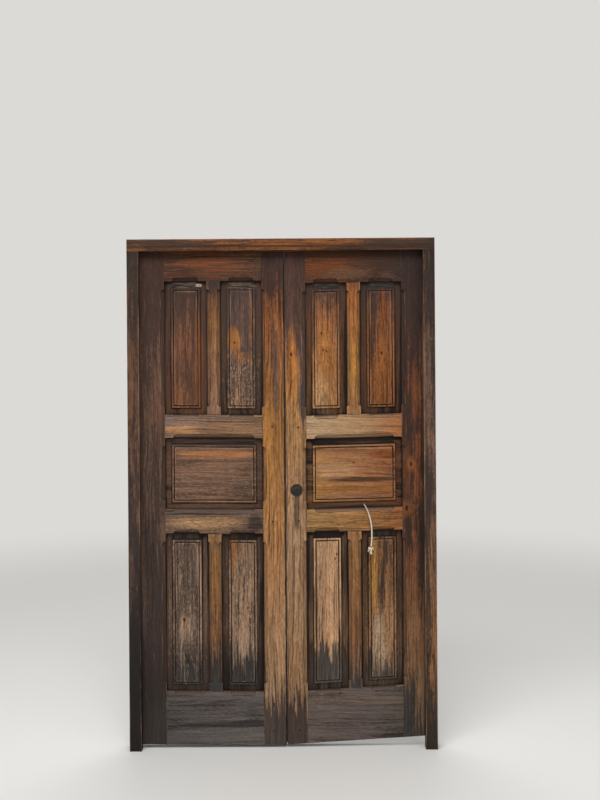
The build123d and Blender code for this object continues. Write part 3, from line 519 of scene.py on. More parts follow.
# The rails: boards laid across between the stiles, with chamfers stopped short of their ends.
# The lock rails catch the light and are bleached; the bottom rails stand in the splashes, and
# the top rails keep a red-brown stain.
fit_leaf_board("left_top_rail", "x", [
    (-0.5, "#3b2418", "#59331c", 0.45), (-0.3, "#422617", "#61361e", 0.55),
    (-0.08, "#3b271c", "#563826", 0.40)], seed=11.3, contrast=0.75,
    patches=[(-0.3, 1.99, 0.2, 0.012, "#2f2019", 0.7)])
fit_leaf_board("right_top_rail", "x", [
    (0.1, "#43240f", "#5c3116", 0.50), (0.3, "#40230f", "#5a3015", 0.45),
    (0.5, "#2c1a10", "#472814", 0.30)], seed=12.7, contrast=0.75, flecks=(0.28, 2.015, "#7b6a58"),
    patches=[(0.27, 2.015, 0.1, 0.02, "#5d422e", 0.55), (0.45, 2.0, 0.03, 0.02, "#4f3726", 0.5)])
fit_leaf_board("left_upper_lock_rail", "x", [
    (-0.5, "#503f39", "#786359", 0.70), (-0.3, "#5a4234", "#816149", 0.75),
    (-0.08, "#5a4034", "#86654b", 0.75)], seed=13.9, patches=[(-0.43, 1.355, 0.08, 0.022, "#ab7c52", 0.8),
    (-0.3, 1.403, 0.2, 0.007, "#968275", 0.5), (-0.16, 1.36, 0.05, 0.014, "#8d6a4e", 0.6)])
fit_leaf_board("right_upper_lock_rail", "x", [
    (0.1, "#806446", "#ab8c6c", 0.85), (0.35, "#806041", "#a8825c", 0.85),
    (0.5, "#744c2d", "#9c643b", 0.75)], seed=15.1, contrast=0.75)
fit_leaf_board("left_lower_lock_rail", "x", [
    (-0.5, "#43342b", "#71594a", 0.70), (-0.3, "#4c3728", "#7a5b45", 0.75),
    (-0.08, "#3c322f", "#685142", 0.60)], seed=16.7, flecks=(0.62, 1.02, "#2e211b"),
    patches=[(-0.3, 1.003, 0.24, 0.012, "#4f4a4d", 0.85), (-0.115, 0.955, 0.035, 0.04, "#342b28", 0.85),
    (-0.33, 0.958, 0.17, 0.026, "#a6805b", 0.80)])
fit_leaf_board("right_lower_lock_rail", "x", [
    (0.1, "#6f5135", "#987247", 0.75), (0.35, "#6a4a2a", "#92673b", 0.75),
    (0.5, "#6f452a", "#965f36", 0.75)], seed=18.3)
fit_leaf_board("left_bottom_rail", "x", [
    (-0.5, "#34302f", "#534c49", 0.55), (-0.3, "#3b3635", "#5c5450", 0.60),
    (-0.08, "#363230", "#5e5651", 0.60)], seed=19.7, contrast=0.6,
    patches=[(-0.3, 0.05, 0.3, 0.03, "#6a635e", 0.5), (-0.25, 0.10, 0.25, 0.012, "#2f2a29", 0.6)])
fit_leaf_board("right_bottom_rail", "x", [
    (0.1, "#3f3834", "#665a51", 0.60), (0.3, "#3a3330", "#61544f", 0.60),
    (0.5, "#352f2b", "#574d46", 0.50)], seed=21.1, contrast=0.55,
    patches=[(0.3, 0.2, 0.3, 0.02, "#705d4d", 0.5)], knots=[(0.2405, 0.228, 0.003, 0.0),
    (0.395, 0.236, 0.003, 0.0), (0.435, 0.118, 0.003, 0.0)])

# The muntins: short uprights that part the tall panels, stub-tenoned into the rails. They
# stand proud of the panels, so sun and rain have bared them to orange and brown wood.
fit_leaf_board("left_upper_muntin", "z", [
    (1.40, "#5a4136", "#80604a", 0.70), (1.6, "#5e3f2b", "#815b40", 0.80),
    (1.85, "#593927", "#7c532e", 0.75), (2.0, "#2d1e1a", "#3e2b27", 0.30)], seed=22.3)
fit_leaf_board("right_upper_muntin", "z", [
    (1.40, "#784f31", "#966844", 0.85), (1.6, "#81512d", "#996a30", 0.90),
    (1.9, "#784727", "#a05f30", 0.85), (2.0, "#402a23", "#6a422b", 0.50)], seed=23.9)
fit_leaf_board("left_lower_muntin", "z", [
    (0.25, "#2e2c2c", "#423e3c", 0.45), (0.45, "#402f28", "#81593a", 0.55),
    (0.8, "#402f28", "#8a5f35", 0.65), (1.0, "#524030", "#846848", 0.65)], seed=25.1,
    splash=(0.36, "#42403f", 0.8))
fit_leaf_board("right_lower_muntin", "z", [
    (0.25, "#403733", "#6a574c", 0.50), (0.45, "#533c2c", "#815837", 0.65),
    (0.8, "#5d402a", "#8b6139", 0.75), (1.0, "#5d402e", "#906544", 0.80)], seed=26.3,
    splash=(0.31, "#4e4746", 0.7))

# The panels: thin boards set in grooves, each with a raised field, a bead and a sloping
# margin. Dirt and painted shade darken the margins, and the fields have weathered each in its own way.
# Dirt and painted shade at each depth of a panel: dark at the field's edge and in the quirk, clear on the
# bead, paler on the margin, dark at its outer edge
field_grime = [(-0.0124, 0.0), (-0.0118, 0.05), (-0.0112, 0.90), (-0.01075, 0.90), (-0.0106, 0.0),
               (-0.0104, 0.0), (-0.01025, 0.90), (-0.0090, 1.0), (-0.0061, 1.0), (-0.0059, 0.95),
               (-0.0055, 0.88)]
panel_grime = field_grime + [(-0.0051, 0.55), (-0.0034, 0.60), (-0.0028, 0.90), (-0.0025, 1.0)]
# As above, with the margin painted near black with shade and dirt
dark_margin_dirt_and_shade = field_grime + [(-0.0051, 0.76), (-0.0034, 0.80), (-0.0028, 0.95), (-0.0025, 1.0)]
fit_leaf_board("left_panel_upper_outer", "z", [
    (1.42, "#553725", "#72472d", 0.50), (1.7, "#4f3527", "#6d4530", 0.50),
    (1.98, "#37241b", "#5a3a2a", 0.25)], seed=27.7, contrast=0.72, dust=0.60, grime=panel_grime,
    patches=[(-0.352, 1.66, 0.018, 0.22, "#834b23", 0.75)])
fit_leaf_board("left_panel_upper_inner", "z", [
    (1.42, "#503a2a", "#835f47", 0.55), (1.6, "#4b3930", "#7f5e46", 0.50),
    (1.72, "#564036", "#8d582a", 0.50), (1.98, "#402f28", "#5a443b", 0.35)], seed=29.3, dust=0.60,
    grime=dark_margin_dirt_and_shade, flecks=(0.50, 1.66, "#b0957a"),
    patches=[(-0.205, 1.735, 0.028, 0.055, "#925e2a", 0.9), (-0.16, 1.66, 0.035, 0.022, "#8d582a", 0.4)],
    knots=[(-0.200, 1.724, 0.005, 0.6)])
fit_leaf_board("left_panel_middle", "x", [
    (-0.5, "#533d2f", "#735342", 0.55), (-0.3, "#584133", "#7a5a45", 0.55),
    (-0.1, "#523d2f", "#6d503c", 0.50)], seed=30.7, contrast=0.72, grime=panel_grime,
    flecks=(0.25, 1.20, "#a89078"), patches=[(-0.3, 1.247, 0.19, 0.018, "#9d6942", 0.85),
    (-0.3, 1.13, 0.16, 0.02, "#7a5b48", 0.5)])
fit_leaf_board("left_panel_lower_outer", "z", [
    (0.28, "#2f2b2a", "#4c4742", 0.35), (0.5, "#5e4c41", "#947762", 0.50),
    (0.95, "#58453b", "#92725d", 0.45)], seed=32.1, grime=panel_grime, splash=(0.33, "#46413d", 0.75),
    flecks=(0.34, 0.9, "#a89276"), knots=[(-0.422, 0.545, 0.007, 0.25)])
fit_leaf_board("left_panel_lower_inner", "z", [
    (0.28, "#2f2a28", "#48403b", 0.35), (0.5, "#513e31", "#907159", 0.60),
    (0.95, "#4a392b", "#705542", 0.50)], seed=33.9, grime=dark_margin_dirt_and_shade, splash=(0.385, "#403a36", 0.9),
    flecks=(0.50, 0.80, "#b8a184"), patches=[(-0.207, 0.87, 0.014, 0.13, "#935d2f", 0.9),
    (-0.16, 0.43, 0.05, 0.05, "#997c65", 0.6)], knots=[(-0.150, 0.593, 0.004, 0.3)])
fit_leaf_board("right_panel_upper_inner", "z", [
    (1.42, "#754f2d", "#9a6c41", 0.85), (1.65, "#754928", "#96643a", 0.80),
    (1.85, "#5b3827", "#805233", 0.60), (1.98, "#3c2a20", "#5b3e2f", 0.30)], seed=35.3, dust=0.22,
    grime=dark_margin_dirt_and_shade, flecks=(0.55, 1.80, "#3a2416"),
    patches=[(0.165, 1.50, 0.035, 0.09, "#a98259", 0.7), (0.19, 1.70, 0.035, 0.11, "#a0652f", 0.6),
    (0.135, 1.80, 0.012, 0.12, "#4a3326", 0.7)], knots=[(0.172, 1.762, 0.005, 0.4),
    (0.178, 1.690, 0.004, 0.4), (0.192, 1.686, 0.004, 0.3)])
fit_leaf_board("right_panel_upper_outer", "z", [
    (1.42, "#4d2f1c", "#764624", 0.60), (1.65, "#4f3120", "#7d4b26", 0.58),
    (1.90, "#452c1f", "#663f28", 0.50), (1.98, "#2c1c17", "#4a2f24", 0.30)], seed=37.1, dust=0.22,
    grime=dark_margin_dirt_and_shade, flecks=(0.50, 1.72, "#2c1a10"),
    patches=[(0.436, 1.87, 0.014, 0.1, "#743c19", 0.7), (0.425, 1.60, 0.03, 0.14, "#834d23", 0.6)],
    knots=[(0.427, 1.676, 0.006, 0.5)])
fit_leaf_board("right_panel_middle", "x", [
    (0.14, "#764e2e", "#9a6d41", 0.80), (0.32, "#6b432b", "#8f6140", 0.75),
    (0.48, "#5f371f", "#885531", 0.65)], seed=38.3, contrast=0.82, grime=dark_margin_dirt_and_shade,
    patches=[(0.36, 1.139, 0.17, 0.011, "#452e1d", 0.9), (0.3, 1.10, 0.19, 0.014, "#885926", 0.8),
    (0.44, 1.245, 0.08, 0.02, "#7a401a", 0.75), (0.22, 1.18, 0.10, 0.035, "#ac835c", 0.7),
    (0.25, 1.262, 0.2, 0.008, "#6d462b", 0.7)], knots=[(0.305, 1.210, 0.004, 0.3)])
fit_leaf_board("right_panel_lower_inner", "z", [
    (0.28, "#3d3530", "#64564b", 0.40), (0.45, "#7b6049", "#ad8562", 0.70),
    (0.95, "#795a41", "#ad8562", 0.70)], seed=39.7, grime=dark_margin_dirt_and_shade, splash=(0.41, "#5e554e", 0.92),
    knots=[(0.230, 0.82, 0.004, 0.0), (0.222, 0.80, 0.004, 0.0)])
fit_leaf_board("right_panel_lower_outer", "z", [
    (0.28, "#423932", "#6e5a49", 0.45), (0.45, "#5c4333", "#99714f", 0.62),
    (0.7, "#4a3526", "#7c5838", 0.50), (0.95, "#483325", "#765136", 0.50)], seed=41.3, grime=panel_grime,
    splash=(0.315, "#6a5d51", 0.85), flecks=(0.65, 0.95, "#35231a"),
    patches=[(0.387, 0.76, 0.015, 0.19, "#a5763a", 0.95), (0.408, 0.43, 0.030, 0.13, "#a98d71", 0.85),
    (0.372, 0.37, 0.010, 0.07, "#2e2a27", 0.85)])

# The putty: a thumbed dab over a nail in the corner of one panel, worked from chalk and linseed
# oil. It has dried to the colour of old bone, dull and gritty, and sunk where the nail is.
putty, putty_node = new_material("dried_linseed_putty")
putty_point = putty_node("TexCoord").outputs["Object"]
putty_grit = putty_node("TexNoise", {"Vector": putty_point, "Scale": to_a_metre(3.125), "Detail": 4.0})
putty_share = putty_node("MapRange", {0: putty_grit, 1: 0.35, 2: 0.65})
putty_colour = putty_node("Mix", {"Factor": putty_share, "A": "#786654", "B": "#b2a088"}, data_type="RGBA")
putty_bump = putty_node("Bump", {"Height": putty_grit, "Strength": 0.5, "Distance": 0.0006})
putty_surface = putty_node("BsdfPrincipled", {
    "Base Color": putty_colour, "Normal": putty_bump, "Roughness": 0.9})
putty_node("OutputMaterial", {"Surface": putty_surface})

putty_x, putty_z = -0.352, 1.9695
putty_seat = -0.0030
putty_width, putty_height, putty_swell = 0.031, 0.017, 0.0040
nail_depth, nail_radius, nail_off = 0.0030, 0.0022, 0.004
dab_steps, dab_sides = 7, 28
dab = bmesh.new()
dab_rings = []
for i in range(1, dab_steps + 1):
    reach = i / dab_steps
    dab_ring = []
    for k in range(dab_sides):
        a = math.tau * k / dab_sides
        ragged = 1 + 0.25 * noise.noise(Vector((math.cos(a) * 1.3, math.sin(a) * 1.3, 4.2)))
        out_x = 0.5 * putty_width * reach * ragged * math.cos(a)
        out_z = 0.5 * putty_height * reach * ragged * math.sin(a)
        nail_hole = nail_depth * math.exp(-((out_x - nail_off) ** 2 + out_z ** 2) / nail_radius ** 2)
        swell = putty_swell * math.sqrt(max(0.0, 1 - reach ** 2)) - nail_hole
        dab_ring.append(dab.verts.new((putty_x + out_x, putty_seat - swell, putty_z + out_z)))
    dab_rings.append(dab_ring)
dab_top = dab.verts.new((putty_x, putty_seat - putty_swell, putty_z))
for k in range(dab_sides):
    onward = (k + 1) % dab_sides
    dab.faces.new((dab_top, dab_rings[0][onward], dab_rings[0][k]))
    for near, far in zip(dab_rings, dab_rings[1:]):
        dab.faces.new((near[k], near[onward], far[onward], far[k]))
dab.faces.new(dab_rings[-1])
bmesh.ops.recalc_face_normals(dab, faces=dab.faces)
put_in_place("putty_dab", smooth_mesh(dab, "putty_dab"), "left_leaf", putty)

# The pegs: whittled oak pins, driven through the tenons and cut off near the face. Their end
# grain has drunk dirt and oil: it is almost black, dull and finely speckled.
oak, oak_node = new_material("dark_oak_end_grain")
oak_point = oak_node("TexCoord").outputs["Object"]
oak_speckle = oak_node("TexNoise", {"Vector": oak_point, "Scale": to_a_metre(1.111), "Detail": 3.0})
oak_colour = oak_node("Mix", {"Factor": oak_speckle, "A": "#130c08", "B": "#3a2416"}, data_type="RGBA")
oak_surface = oak_node("BsdfPrincipled", {"Base Color": oak_colour, "Roughness": 0.8})
oak_node("OutputMaterial", {"Surface": oak_surface})
for name in ("frame_pegs", "left_pegs", "right_pegs"):
    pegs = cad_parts[name]
    pegs.data.materials.clear()
    pegs.data.materials.append(oak)

# The hinges: six lift-off pairs of flat iron with rolled knuckles, screwed to the backs of the
# jambs and the leaves. They were painted black; the paint is dull, and rust shows at the edges.
metal_sharp_from = 32
metal_edge_angle = 0.7


def aged_metal(name, colour, wear_colour, metallic, roughness, spots_mm=3.85, spread=0.58):
    """Metal under dull paint or tarnish, with its own colour or rust coming through in spots.

    spots_mm: how large the spots are. spread: the higher it is, the fewer of them come through.
    """
    material, node = new_material(name)
    point = node("TexCoord").outputs["Object"]
    grit = to_a_metre(spots_mm)
    blotches = node("TexNoise", {"Vector": point, "Scale": grit, "Detail": 5.0, "Roughness": 0.65})
    broad = node("TexNoise", {"Vector": point, "Scale": grit / 9, "Detail": 3.0})
    both = node("Math", {0: broad, 1: 0.5, 2: blotches}, operation="MULTIPLY_ADD")
    through = node("MapRange", {0: both, 1: spread + 0.22, 2: spread + 0.34})
    edge = node("Attribute", attribute_name="arris").outputs["Fac"]
    through = node("Math", {0: edge, 1: 0.35, 2: through}, operation="MULTIPLY_ADD", use_clamp=True)
    shade = node("Mix", {"Factor": through, "A": colour, "B": wear_colour}, data_type="RGBA")
    level = node("MapRange", {0: broad, 1: 0.3, 2: 0.7, 3: 0.85, 4: 1.15})
    shade = node("HueSaturation", {"Color": shade, "Value": level})
    rough = node("MapRange", {0: blotches, 1: 0.3, 2: 0.7, 3: roughness - 0.1, 4: roughness + 0.12})
    bump = node("Bump", {"Height": both, "Strength": 0.4, "Distance": 0.0004})
    surface = node("BsdfPrincipled", {
        "Base Color": shade, "Roughness": rough, "Normal": bump, "Metallic": metallic})
    node("OutputMaterial", {"Surface": surface})
    return material


def with_modifiers(carrier):
    """The plain mesh that an object's modifiers make of it. The object itself is removed."""
    evaluated = carrier.evaluated_get(bpy.context.evaluated_depsgraph_get())
    mesh = bpy.data.meshes.new_from_object(evaluated)
    bpy.data.objects.remove(carrier)
    return mesh


dish_rim, dish_floor, dish_depth = 0.0058, 0.0038, 0.0032


def sink_dishes(mesh, points):
    """A metal piece's mesh with a dished hole for a screw's head at each point of its back face."""
    cutter = bmesh.new()
    for point in points:
        turned = Matrix.Translation(point) @ Matrix.Rotation(math.pi / 2, 4, "X")
        bmesh.ops.create_cone(cutter, cap_ends=True, segments=20, radius1=dish_rim, radius2=dish_floor,
                              depth=dish_depth, matrix=turned)
    dish_mesh = bpy.data.meshes.new("dishes")
    cutter.to_mesh(dish_mesh)
    cutter.free()
    dishes = new_object("dishes", dish_mesh)
    carrier = new_object("undished", mesh)
    carrier.modifiers.new("cut", "BOOLEAN").object = dishes
    dished = with_modifiers(carrier)
    bpy.data.objects.remove(dishes)
    dished.set_sharp_from_angle(angle=math.radians(metal_sharp_from))
    return dished


def fit_metal(name, body, material, easing, dished_at=()):
    """Puts a metal piece in its place, its edges eased as a file or a press leaves them."""
    metal = whole_faces(name)
    edges = [edge for edge in metal.edges if len(edge.link_faces) == 2
             and edge.calc_face_angle(0) > metal_edge_angle and edge.calc_length() > 3 * easing]
    nearness = metal.verts.layers.float.new("arris")
    bmesh.ops.bevel(metal, geom=edges, offset=easing, segments=2, affect="EDGES", clamp_overlap=True)
    for vert in metal.verts:
        vert[nearness] = 1.0 if any(edge.calc_face_angle(0) > 0.15 for edge in vert.link_edges) else 0.0
    mesh = smooth_mesh(metal, "eased_" + name, metal_sharp_from)
    if dished_at:
        mesh = sink_dishes(mesh, dished_at)
    put_in_place("eased_" + name, mesh, body, material, replaced=name)


# Black paint over wrought iron: nearly black and dull, with rust brown where it has chipped
hinge_iron = aged_metal("black_painted_wrought_iron", "#1d1c1b", "#5a3420", metallic=0.35, roughness=0.62)
hinges = [(side, height) for side in ("left", "right") for height in ("bottom", "middle", "top")]
for side, height in hinges:
    flap = side + "_" + height + "_hinge_"
    fit_metal(flap + "frame_flap", "frame", hinge_iron, 0.0005)
    fit_metal(flap + "leaf_flap", side + "_leaf", hinge_iron, 0.0005)
# Drawn steel, worn bright under old oil and browned by it
pin_steel = aged_metal("oiled_pin_steel", "#4a4744", "#5f3c26", metallic=0.9, roughness=0.45)
fit_metal("hinge_pins", "frame", pin_steel, 0.0004)

# The lock: a round iron rose over a brass cylinder on the face, and a pressed iron rim case
# behind it, whose square bolt shoots into a box keeper on the other leaf.
case_screw_inset, keeper_screw_inset = 0.010, 0.008


def corner_screws(name, inset):
    """Where the four screws of a piece of the lock go in, near the corners of its back face."""
    low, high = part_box(name)
    return [(x, high[1], z) for x in (low[0] + inset, high[0] - inset)
            for z in (low[2] + inset, high[2] - inset)]


# Cast iron, gone matt black with weather and hardly any shine
rose_iron = aged_metal("dark_patinated_iron", "#141513", "#2a2720", metallic=0.25, roughness=0.76,
                       spots_mm=2.38, spread=0.50)
fit_metal("lock_cylinder", "right_leaf", rose_iron, 0.0006)
# Brass, turned a dark olive by tarnish, with a dim yellow where the key rubs it
plug_brass = aged_metal("tarnished_brass", "#221f16", "#3d3622", metallic=0.80, roughness=0.52,
                        spots_mm=1.923)
fit_metal("lock_plug", "lock_plug", plug_brass, 0.0003)
# Sheet iron under baked black varnish: a satin shine, browned at the edges
case_iron = aged_metal("black_japanned_iron", "#201e1c", "#4d3324", metallic=0.3, roughness=0.5)
case_screws = corner_screws("lock_case", case_screw_inset)
keeper_screws = corner_screws("lock_keeper", keeper_screw_inset)
fit_metal("lock_case", "right_leaf", case_iron, 0.0015, dished_at=case_screws)
fit_metal("lock_keeper", "left_leaf", case_iron, 0.0012, dished_at=keeper_screws)
# Forged steel, rubbed bright by sliding, with a brown film left in the hollows
bolt_steel = aged_metal("rubbed_bolt_steel", "#77736d", "#5f4632", metallic=0.95, roughness=0.4)
fit_metal("lock_bolt", "lock_bolt", bolt_steel, 0.0006)

# The sliding bolts: flat steel bars with turned knobs, held behind the left leaf by straps of
# bent iron. The top one shoots into a staple on the back of the head.
fit_metal("left_top_bolt", "left_top_bolt", bolt_steel, 0.0006)
fit_metal("left_bottom_bolt", "left_bottom_bolt", bolt_steel, 0.0006)
fit_metal("left_bolt_guides", "left_leaf", case_iron, 0.0004)
fit_metal("top_bolt_staple", "frame", case_iron, 0.0004)

# The screws: slotted steel screws with low round heads, in the flaps, the case, the keeper and
# the feet of the straps. Each was turned home by hand, so no two slots line up. Their steel is
# plain and dull, with a few spots of rust.
screw_steel = aged_metal("dull_screw_steel", "#4a453f", "#5f3c26", metallic=0.85, roughness=0.5,
                         spots_mm=1.667)
head_radius, head_height, slot_width = 0.0036, 0.0012, 0.0009
head_sunk = 0.0015
slot_seed = 11
plate_thickness = 0.0025
flap_screw_spacing = 0.038
frame_flap_inset = 0.012
leaf_flap_insets = (0.011, 0.036)
strap_screw_inset = 0.0045
guide_height, guide_spacing = 0.014, 0.146


def screw_places():
    """Where each screw goes in, listed for the body that carries it."""
    places = {"frame": [], "left_leaf": [], "right_leaf": []}
    for side, height in hinges:
        outward = -1 if side == "left" else 1
        for part, body in (("frame_flap", "frame"), ("leaf_flap", side + "_leaf")):
            low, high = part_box(side + "_" + height + "_hinge_" + part)
            middle = (low[2] + high[2]) / 2
            outer, inner = (low[0], high[0]) if outward < 0 else (high[0], low[0])
            if part == "frame_flap":
                across = (outer - outward * frame_flap_inset,)
            else:
                across = [inner + outward * inset for inset in leaf_flap_insets]
            places[body] += [(x, low[1] + plate_thickness, middle + step * flap_screw_spacing)
                             for x in across for step in (-1, 0, 1)]
    places["right_leaf"] += [(x, y - head_sunk, z) for x, y, z in case_screws]
    places["left_leaf"] += [(x, y - head_sunk, z) for x, y, z in keeper_screws]
    low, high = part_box("left_bolt_guides")
    lowest, highest = low[2] + guide_height / 2, high[2] - guide_height / 2
    guides = (lowest, lowest + guide_spacing, highest - guide_spacing, highest)
    staple_low, staple_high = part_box("top_bolt_staple")
    staple = ((staple_low[2] + staple_high[2]) / 2,)
    for body, middles in (("left_leaf", guides), ("frame", staple)):
        places[body] += [(x, low[1] + plate_thickness, z) for z in middles
                         for x in (low[0] + strap_screw_inset, high[0] - strap_screw_inset)]
    return places


def screw_tree():
    """Geometry nodes that set a slotted head on every point they are given, facing the room."""
    tree = bpy.data.node_groups.new("slotted_screw_heads", "GeometryNodeTree")
    for name, kind, value in (
            ("Geometry", "Geometry", None), ("Head Radius", "Float", head_radius),
            ("Head Height", "Float", head_height), ("Slot Width", "Float", slot_width),
            ("Seed", "Int", slot_seed), ("Material", "Material", screw_steel)):
        socket = tree.interface.new_socket(name, in_out="INPUT", socket_type="NodeSocket" + kind)
        if value:
            socket.default_value = value
    tree.interface.new_socket("Geometry", in_out="OUTPUT", socket_type="NodeSocketGeometry")
    node = partial(add_node, tree)
    given = node("NodeGroupInput").outputs
    radius, height = given["Head Radius"], given["Head Height"]
    narrow = node("Math", {0: radius, 1: 0.72}, operation="MULTIPLY")
    head = node("GeometryNodeMeshCone", {
        "Vertices": 16, "Radius Top": narrow, "Radius Bottom": radius, "Depth": height})
    long = node("Math", {0: radius, 1: 2.4}, operation="MULTIPLY")
    size = node("CombineXYZ", {0: long, 1: given["Slot Width"], 2: height})
    lift = node("Math", {0: height, 1: 0.95}, operation="MULTIPLY")
    cutter = node("GeometryNodeTransform", {
        "Geometry": node("GeometryNodeMeshCube", {"Size": size}),
        "Translation": node("CombineXYZ", {2: lift})})
    slotted = node("GeometryNodeMeshBoolean", {"Mesh 1": head, "Mesh 2": cutter}, operation="DIFFERENCE")
    turn = node("FunctionNodeRandomValue", {"Min": 0.0, "Max": math.pi, "Seed": given["Seed"]},
                data_type="FLOAT")
    rotation = node("CombineXYZ", {0: -math.pi / 2, 1: turn})
    heads = node("GeometryNodeInstanceOnPoints", {
        "Points": given["Geometry"], "Instance": slotted, "Rotation": rotation})
    heads = node("GeometryNodeRealizeInstances", {"Geometry": heads})
    heads = node("GeometryNodeSetMaterial", {"Geometry": heads, "Material": given["Material"]})
    node("NodeGroupOutput", {"Geometry": heads})
    return tree


screws = screw_tree()
sockets = {item.name: item.identifier for item in screws.interface.items_tree if item.in_out == "INPUT"}
for body, points in screw_places().items():
    seats = bpy.data.meshes.new("seats_" + body)
    seats.from_pydata(points, [], [])
    carrier = new_object("seats_" + body, seats)
    heads = carrier.modifiers.new("heads", "NODES")
    heads.node_group = screws
    heads[sockets["Seed"]] = slot_seed + len(points)
    heads[sockets["Material"]] = screw_steel
    put_in_place("screws_" + body, with_modifiers(carrier), body)

# The pull string: a length of soft cotton cord, knotted behind the panel and drawn out through
# a hole in it. It hangs over the lower lock rail and ends in a knot whose tails have frayed.

# Cotton: matt and fluffy, with the slanting lines of its strands, and greyer towards the hole at its top.
# At scale 1 a wave texture has its lines tau / 20 of a metre apart; the strands lie 2.4 mm apart.
strand_scale = round(to_a_metre(2.42, 2) * math.tau / 20)
cotton, cotton_node = new_material("frayed_cotton")
cotton_point = cotton_node("TexCoord").outputs["Object"]
twist = cotton_node("Mapping", {"Vector": cotton_point, "Rotation": (0.0, math.radians(38), 0.0)})
twist = cotton_node("TexWave", {"Vector": twist, "Scale": strand_scale, "Distortion": 2.0, "Detail": 2.0})
fluff = cotton_node("TexNoise", {"Vector": cotton_point, "Scale": to_a_metre(1.4286), "Detail": 4.0})
cotton_shade = cotton_node("Mix", {"Factor": twist, "A": "#c4b19c", "B": "#eddfce"}, data_type="RGBA")
cotton_height = cotton_node("SeparateXYZ", {0: cotton_point}).outputs["Z"]
near_hole = cotton_node("MapRange", {0: cotton_height, 1: 0.985, 2: 1.025, 4: 0.75})
cotton_shade = cotton_node("Mix", {"Factor": near_hole, "A": cotton_shade, "B": "#8f8880"},
                           data_type="RGBA")
lint = cotton_node("MapRange", {0: fluff, 1: 0.3, 2: 0.7, 3: 0.88, 4: 1.1})
cotton_shade = cotton_node("HueSaturation", {"Color": cotton_shade, "Value": lint})
cotton_relief = cotton_node("Math", {0: fluff, 1: 0.5, 2: twist.outputs["Fac"]}, operation="MULTIPLY_ADD")
cotton_bump = cotton_node("Bump", {"Height": cotton_relief, "Strength": 0.6, "Distance": 0.0006})
cotton_surface = cotton_node("BsdfPrincipled", {
    "Base Color": cotton_shade, "Normal": cotton_bump, "Roughness": 0.95})
cotton_node("OutputMaterial", {"Surface": cotton_surface})

string_diameter, string_length = 0.006, 0.199
string_route = [
    (0.349, -0.004, 1.030), (0.349, -0.019, 1.030), (0.355, -0.0305, 1.0205), (0.362, -0.033, 1.0045),
    (0.369, -0.0305, 0.985), (0.375, -0.0285, 0.961), (0.3785, -0.0275, 0.933), (0.3795, -0.027, 0.900),
    (0.378, -0.027, 0.874), (0.376, -0.0275, 0.855)]
string_curve = bpy.data.curves.new("pull_string", "CURVE")
string_curve.dimensions = "3D"
string_line = string_curve.splines.new("NURBS")
string_line.points.add(len(string_route) - 1)
for point, place in zip(string_line.points, string_route):
    point.co = (*place, 1)
string_line.order_u = 3
string_line.use_endpoint_u = True
string_curve.bevel_depth = string_diameter / 2
string_curve.bevel_resolution = 4
string_curve.use_fill_caps = True
string_curve.resolution_u = 12
pull_string = put_in_place("pull_string", string_curve, "right_leaf", cotton,
                           replaced="pull_cord")

# The knots of the pull string: an overhand knot at each end of the same cotton cord. The front
# one has frayed into three tufts; the back one stops the cord behind the panel.


def overhand_turns(centre, size, lobe, depth, steps=48):
    """Points along a cord that goes round in an overhand knot."""
    turns = []
    for a in (math.tau * i / steps for i in range(steps + 1)):
        turns.append(centre + Vector((size * (math.sin(a) + lobe * math.sin(2 * a)), depth * math.sin(3 * a),
                                      size * (math.cos(a) - lobe * math.cos(2 * a)))))
    return turns


def tube_along(shape, points, radii, sides):
    """Adds a round tube through points to a shape, with closed ends."""
    rings = []
    for i, point in enumerate(points):
        ahead = (points[min(i + 1, len(points) - 1)] - points[max(i - 1, 0)]).normalized()
        if i == 0:
            across = ahead.orthogonal().normalized()
        else:
            across = (across - ahead * across.dot(ahead)).normalized()
        up = ahead.cross(across)
        rings.append([shape.verts.new(point + (across * math.cos(a) + up * math.sin(a)) * radii[i])
                      for a in (math.tau * k / sides for k in range(sides))])
    for near, far in zip(rings, rings[1:]):
        for k in range(sides):
            shape.faces.new((near[k], near[(k + 1) % sides], far[(k + 1) % sides], far[k]))
    shape.faces.new(rings[0][::-1])
    shape.faces.new(rings[-1])


def tie_knot(name, tubes, replaced):
    """Puts a knot in its place, made of tubes: points, radii and sides of each."""
    knot = bmesh.new()
    for points, radii, sides in tubes:
        tube_along(knot, points, radii, sides)
    return put_in_place(name, smooth_mesh(knot, name), "right_leaf", cotton, replaced=replaced)


knot_low, knot_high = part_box("pull_cord_knot")
knot_centre = (Vector(knot_low) + Vector(knot_high)) / 2
knot_turns = overhand_turns(knot_centre + Vector((0, 0, 0.003)), size=0.0046, lobe=1.1, depth=0.0036)
knot_tubes = [(knot_turns, [0.0031] * len(knot_turns), 10)]
tails = [(Vector((0.75, -0.2, 0.62)), 0.012), (Vector((-0.95, -0.15, -0.1)), 0.012),
         (Vector((0.05, -0.25, -1.0)), 0.014)]
fibres_a_tail = 26
fibre_steps = (0.0, 0.3, 0.6, 0.85, 1.0)
fibre_radii = [0.0009, 0.0009, 0.0008, 0.0006, 0.0003]
fibre_droop = Vector((0, 0, -0.004))
for t, (heading, length) in enumerate(tails):
    heading.normalize()
    for i in range(fibres_a_tail):
        spin = 2.4 * i
        spread = 0.10 + 0.34 * ((i * 7 % fibres_a_tail) / fibres_a_tail)
        side = heading.orthogonal().normalized()
        side = side * math.cos(spin) + heading.cross(side) * math.sin(spin)
        reach = length * (0.75 + 0.35 * (0.5 + 0.5 * noise.noise(Vector((i * 0.9, t * 3.3, 0.7)))))
        fibre = [knot_centre + heading * (0.002 + reach * s) + side * (0.0012 + spread * reach * s * s)
                 + fibre_droop * s * s for s in fibre_steps]
        knot_tubes.append((fibre, fibre_radii, 5))
string_knot = tie_knot("frayed_knot", knot_tubes, "pull_cord_knot")

